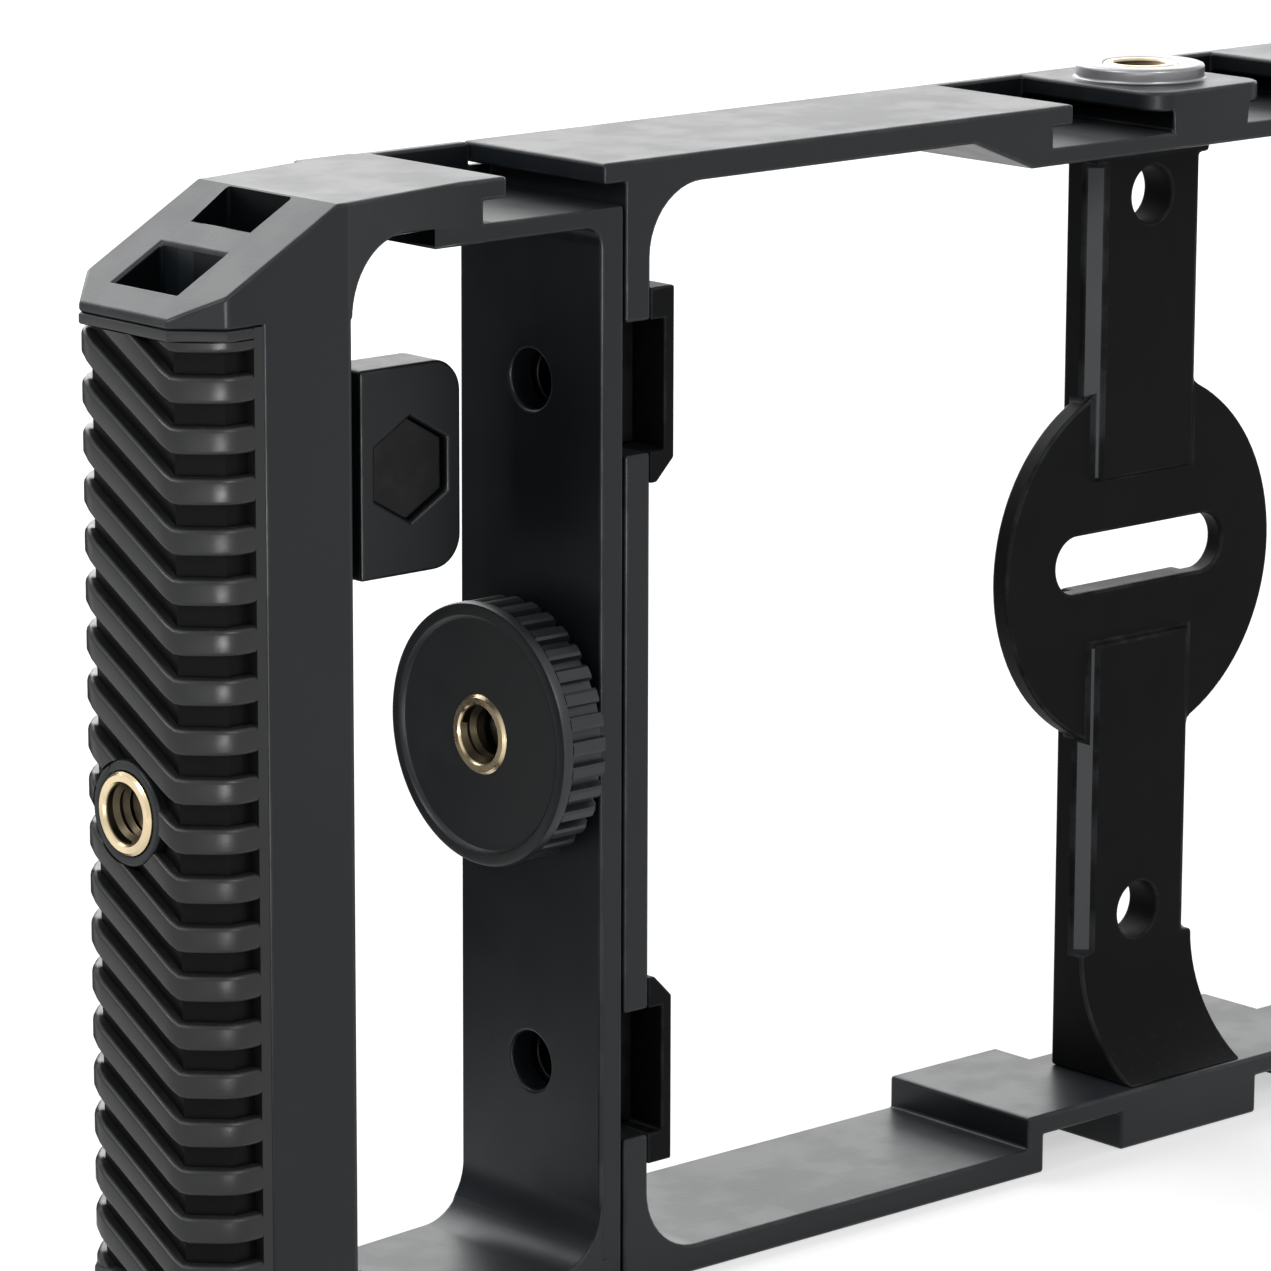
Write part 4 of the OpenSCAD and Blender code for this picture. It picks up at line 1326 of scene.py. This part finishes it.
def screw_mesh(length, head):
    """A screw about Z with its head below, a drive hole in the head and a pointed tip."""
    shank, head_height, tip = 1.25 * MM, 2.0 * MM, 0.8 * MM
    drive_depth, drive_floor, drive_mouth = 1.1 * MM, 0.75 * MM, 0.9 * MM
    edge_in, edge_up = 0.4 * MM, 0.5 * MM
    return turned([
        (0, drive_depth), (drive_floor, drive_depth), (drive_mouth, 0), (head - edge_in, 0), (head, edge_up),
        (head, head_height), (shank, head_height), (shank, length - tip), (0, length)],
        SMALL_STEPS, "screw")


class CAGE_OT_inserts(Operator):
    """Makes the brass thread inserts, with threads by a geometry tree, and the bushes"""
    bl_idname = "cage.inserts"
    bl_label = "Brass inserts"

    def execute(self, context):
        gold = brass()
        left, right = OUTWARD["left"], OUTWARD["right"]
        for node, axis, body in (
                ("left_grip_insert", left, "cage"), ("right_grip_insert", right, "cage"),
                ("left_knob_insert", left, "left_knob"), ("right_knob_insert", right, "right_knob"),
                ("tripod_insert", DOWN, "cage"), ("top_insert", UP, "cage")):
            _, extent = centre_of(node)
            outer = (extent.y if axis.x else extent.x) / 2
            mesh = insert_mesh(abs(extent.dot(axis)), outer, gold, node + "_dressed")
            set_turned(mesh, node, axis, body, "brass", gold)
        for side in SIDES:
            node = side + "_lock_bush"
            _, extent = centre_of(node)
            mesh = bush_mesh(extent.x, extent.y / 2, node + "_dressed")
            set_turned(mesh, node, OUTWARD[side], "cage", "brass", gold)
        return {"FINISHED"}


class CAGE_OT_fasteners(Operator):
    """Makes the nuts, washers, studs and post screws"""
    bl_idname = "cage.fasteners"
    bl_label = "Steel fasteners"

    def execute(self, context):
        width = context.scene.cage_sizes.keeper_round
        grey = steel()
        for side in SIDES:
            for node in (side + "_lug_nut", side + "_wall_nuts"):
                nut = soft_copy(node, node + "_dressed", width)
                carry(nut, "cage", "black_steel", black_steel(), node)
            node = side + "_knob_washer"
            _, extent = centre_of(node)
            mesh = washer_mesh(extent.x, extent.y / 2, node + "_dressed")
            set_turned(mesh, node, OUTWARD[side], side + "_washer", "steel", grey)
            node = side + "_knob_stud"
            _, extent = centre_of(node)
            mesh = stud_mesh(extent.x, extent.y / 2, grey, node + "_dressed")
            set_turned(mesh, node, OUTWARD[side], side + "_knob", "steel", grey)
        low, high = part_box("post_screws")
        head = (high.y - low.y) / 2
        screws = []
        for x in (low.x + head, high.x - head):
            mesh = screw_mesh(high.z - low.z, head)
            smooth(mesh)
            screws.append(placed(mesh, UP, Vector((x, (low.y + high.y) / 2, low.z))))
        name = "post_screws_dressed"
        carry(new_object(joined(screws, name), name), "cage", "steel", grey, "post_screws")
        return {"FINISHED"}


# Stage

FLOOR_HALF = 6.0
FLOOR_GLOW = 0.55
AIM = (-0.08, 0.0, 0.07)
# The dark card stands behind the left grip, and the bright card lies in front of it
DARK_CARD = ((-0.150, 0.045, 0.0), (-0.097, 0.098, 0.0), (-0.097, 0.098, 0.12), (-0.150, 0.045, 0.12))
BRIGHT_CARD = ((-0.44, -0.48, 0.001), (-0.31, -0.545, 0.001), (-0.22, -0.287, 0.001), (-0.30, -0.25, 0.001))
# The camera's place, and its turn to the right, its fall and its roll in degrees
CAMERA_PLACE = (-0.5039, -0.4800, 0.2129)
CAMERA_TURN = 41.736
CAMERA_FALL = 12.707
CAMERA_ROLL = 0.166
CAMERA_LENS = 175.7
CAMERA_SENSOR = 36.0


def area_light(name, place, size, power):
    """A soft light that looks at the left half of the cage and isn't seen itself."""
    lamp = bpy.data.lights.new(name, "AREA")
    lamp.shape = "RECTANGLE"
    lamp.size, lamp.size_y = size
    lamp.energy = power
    obj = bpy.data.objects.new(name, lamp)
    obj.location = place
    obj.rotation_euler = (Vector(AIM) - Vector(place)).to_track_quat("-Z", "Y").to_euler()
    obj.visible_camera = False
    bpy.context.scene.collection.objects.link(obj)


def seen_directly(tree):
    """1 for camera, glossy and transmission rays, and 0 for the rest."""
    path = tree.nodes.new("ShaderNodeLightPath").outputs
    total = math_node(tree, "MAXIMUM", path["Is Camera Ray"], path["Is Glossy Ray"])
    return math_node(tree, "MAXIMUM", total, path["Is Transmission Ray"])


def plain_material(name):
    """A new material and its shader."""
    material = bpy.data.materials.new(name)
    material.use_nodes = True
    return material, material.node_tree.nodes["Principled BSDF"]


def floor_material(colour):
    """A matt floor that glows a little where it is seen, so that it stays pale."""
    material, _ = plain_material("Pale floor")
    tree = material.node_tree
    tree.nodes.clear()
    output = tree.nodes.new("ShaderNodeOutputMaterial")
    both = tree.nodes.new("ShaderNodeAddShader")
    matt = tree.nodes.new("ShaderNodeBsdfDiffuse")
    glow = tree.nodes.new("ShaderNodeEmission")
    matt.inputs["Color"].default_value = (*colour, 1.0)
    strength = math_node(tree, "MULTIPLY", seen_directly(tree), FLOOR_GLOW)
    tree.links.new(strength, glow.inputs["Strength"])
    tree.links.new(matt.outputs[0], both.inputs[0])
    tree.links.new(glow.outputs[0], both.inputs[1])
    tree.links.new(both.outputs[0], output.inputs["Surface"])
    return material


def flat_sheet(name, corners, material):
    mesh = bpy.data.meshes.new(name)
    mesh.from_pydata(corners, [], [(0, 1, 2, 3)])
    mesh.materials.append(material)
    return new_object(mesh, name)


def reflected_card(name, corners, material):
    """A card that shows only in what shines."""
    card = flat_sheet(name, corners, material)
    card.visible_camera = False
    card.visible_diffuse = False
    card.visible_shadow = False
    card.visible_transmission = False


class CAGE_OT_stage(Operator):
    """Sets up the floor, the soft lights, the two cards and the camera"""
    bl_idname = "cage.stage"
    bl_label = "Stage"

    def execute(self, context):
        scene = context.scene
        stage = scene.cage_stage
        scene.view_settings.view_transform = "Standard"

        corners = [(-FLOOR_HALF, -FLOOR_HALF, 0), (FLOOR_HALF, -FLOOR_HALF, 0),
                   (FLOOR_HALF, FLOOR_HALF, 0), (-FLOOR_HALF, FLOOR_HALF, 0)]
        floor = flat_sheet("floor", corners, floor_material(stage.floor_colour))

        dark, shader = plain_material("Dark card")
        shader.inputs["Base Color"].default_value = (0.02, 0.02, 0.02, 1.0)
        shader.inputs["Roughness"].default_value = 0.9
        reflected_card("dark_card", DARK_CARD, dark)
        bright, shader = plain_material("Bright card")
        shader.inputs["Emission Color"].default_value = (1.0, 1.0, 1.0, 1.0)
        shader.inputs["Emission Strength"].default_value = stage.bounce
        reflected_card("bounce_card", BRIGHT_CARD, bright)

        world = bpy.data.worlds.new("Studio")
        scene.world = world
        world.use_nodes = True
        tree = world.node_tree
        back = tree.nodes["Background"]
        back.inputs["Color"].default_value = (1.0, 1.0, 1.0, 1.0)
        extra = math_node(tree, "MULTIPLY", seen_directly(tree), 1.0 - stage.room_light)
        tree.links.new(math_node(tree, "ADD", extra, stage.room_light), back.inputs["Strength"])

        area_light("key_light", (-1.06, 0.05, 0.78), (0.35, 0.35), stage.key_power)
        area_light("front_light", (-0.15, -1.02, 0.79), (0.35, 0.35), stage.front_power)
        area_light("top_light", (0.10, 0.85, 0.85), (0.9, 0.9), stage.top_power)
        area_light("back_light", (0.85, 1.02, 0.34), (1.7, 0.66), stage.back_power)

        camera = bpy.data.cameras.new("camera")
        camera.sensor_width = CAMERA_SENSOR
        camera.lens = CAMERA_LENS
        camera.clip_start = 0.01
        obj = bpy.data.objects.new("camera", camera)
        obj.location = CAMERA_PLACE
        turn = Matrix.Rotation(math.radians(-CAMERA_TURN), 4, "Z")
        fall = Matrix.Rotation(math.radians(90 - CAMERA_FALL), 4, "X")
        roll = Matrix.Rotation(math.radians(CAMERA_ROLL), 4, "Z")
        obj.rotation_euler = (turn @ fall @ roll).to_euler()
        scene.collection.objects.link(obj)
        scene.camera = obj
        return {"FINISHED"}


class CAGE_PT_panel(Panel):
    """Lists the sizes, the finishes and the steps that dress the cage"""
    bl_idname = "CAGE_PT_panel"
    bl_label = "Phone cage"
    bl_space_type = "VIEW_3D"
    bl_region_type = "UI"
    bl_category = "Cage"

    def draw(self, context):
        column = self.layout.column()
        for group in (context.scene.cage_sizes, context.scene.cage_finish, context.scene.cage_stage):
            for key in group.__annotations__:
                column.prop(group, key)
        for operator in OPERATORS:
            column.operator(operator.bl_idname)


OPERATORS = (CAGE_OT_frame, CAGE_OT_grips, CAGE_OT_sleeves, CAGE_OT_keepers, CAGE_OT_knobs, CAGE_OT_inserts,
             CAGE_OT_fasteners, CAGE_OT_stage)
GROUPS = (CageSizes, CageFinish, CageStage)


def register():
    for cls in (*GROUPS, *OPERATORS, CAGE_PT_panel):
        bpy.utils.register_class(cls)
    bpy.types.Scene.cage_sizes = PointerProperty(type=CageSizes)
    bpy.types.Scene.cage_finish = PointerProperty(type=CageFinish)
    bpy.types.Scene.cage_stage = PointerProperty(type=CageStage)


def unregister():
    del bpy.types.Scene.cage_sizes
    del bpy.types.Scene.cage_finish
    del bpy.types.Scene.cage_stage
    for cls in reversed((*GROUPS, *OPERATORS, CAGE_PT_panel)):
        bpy.utils.unregister_class(cls)


def main():
    register()
    bpy.ops.cage.frame()
    bpy.ops.cage.grips()
    bpy.ops.cage.sleeves()
    bpy.ops.cage.keepers()
    bpy.ops.cage.knobs()
    bpy.ops.cage.inserts()
    bpy.ops.cage.fasteners()
    bpy.ops.cage.stage()


if __name__ == "__main__":
    main()
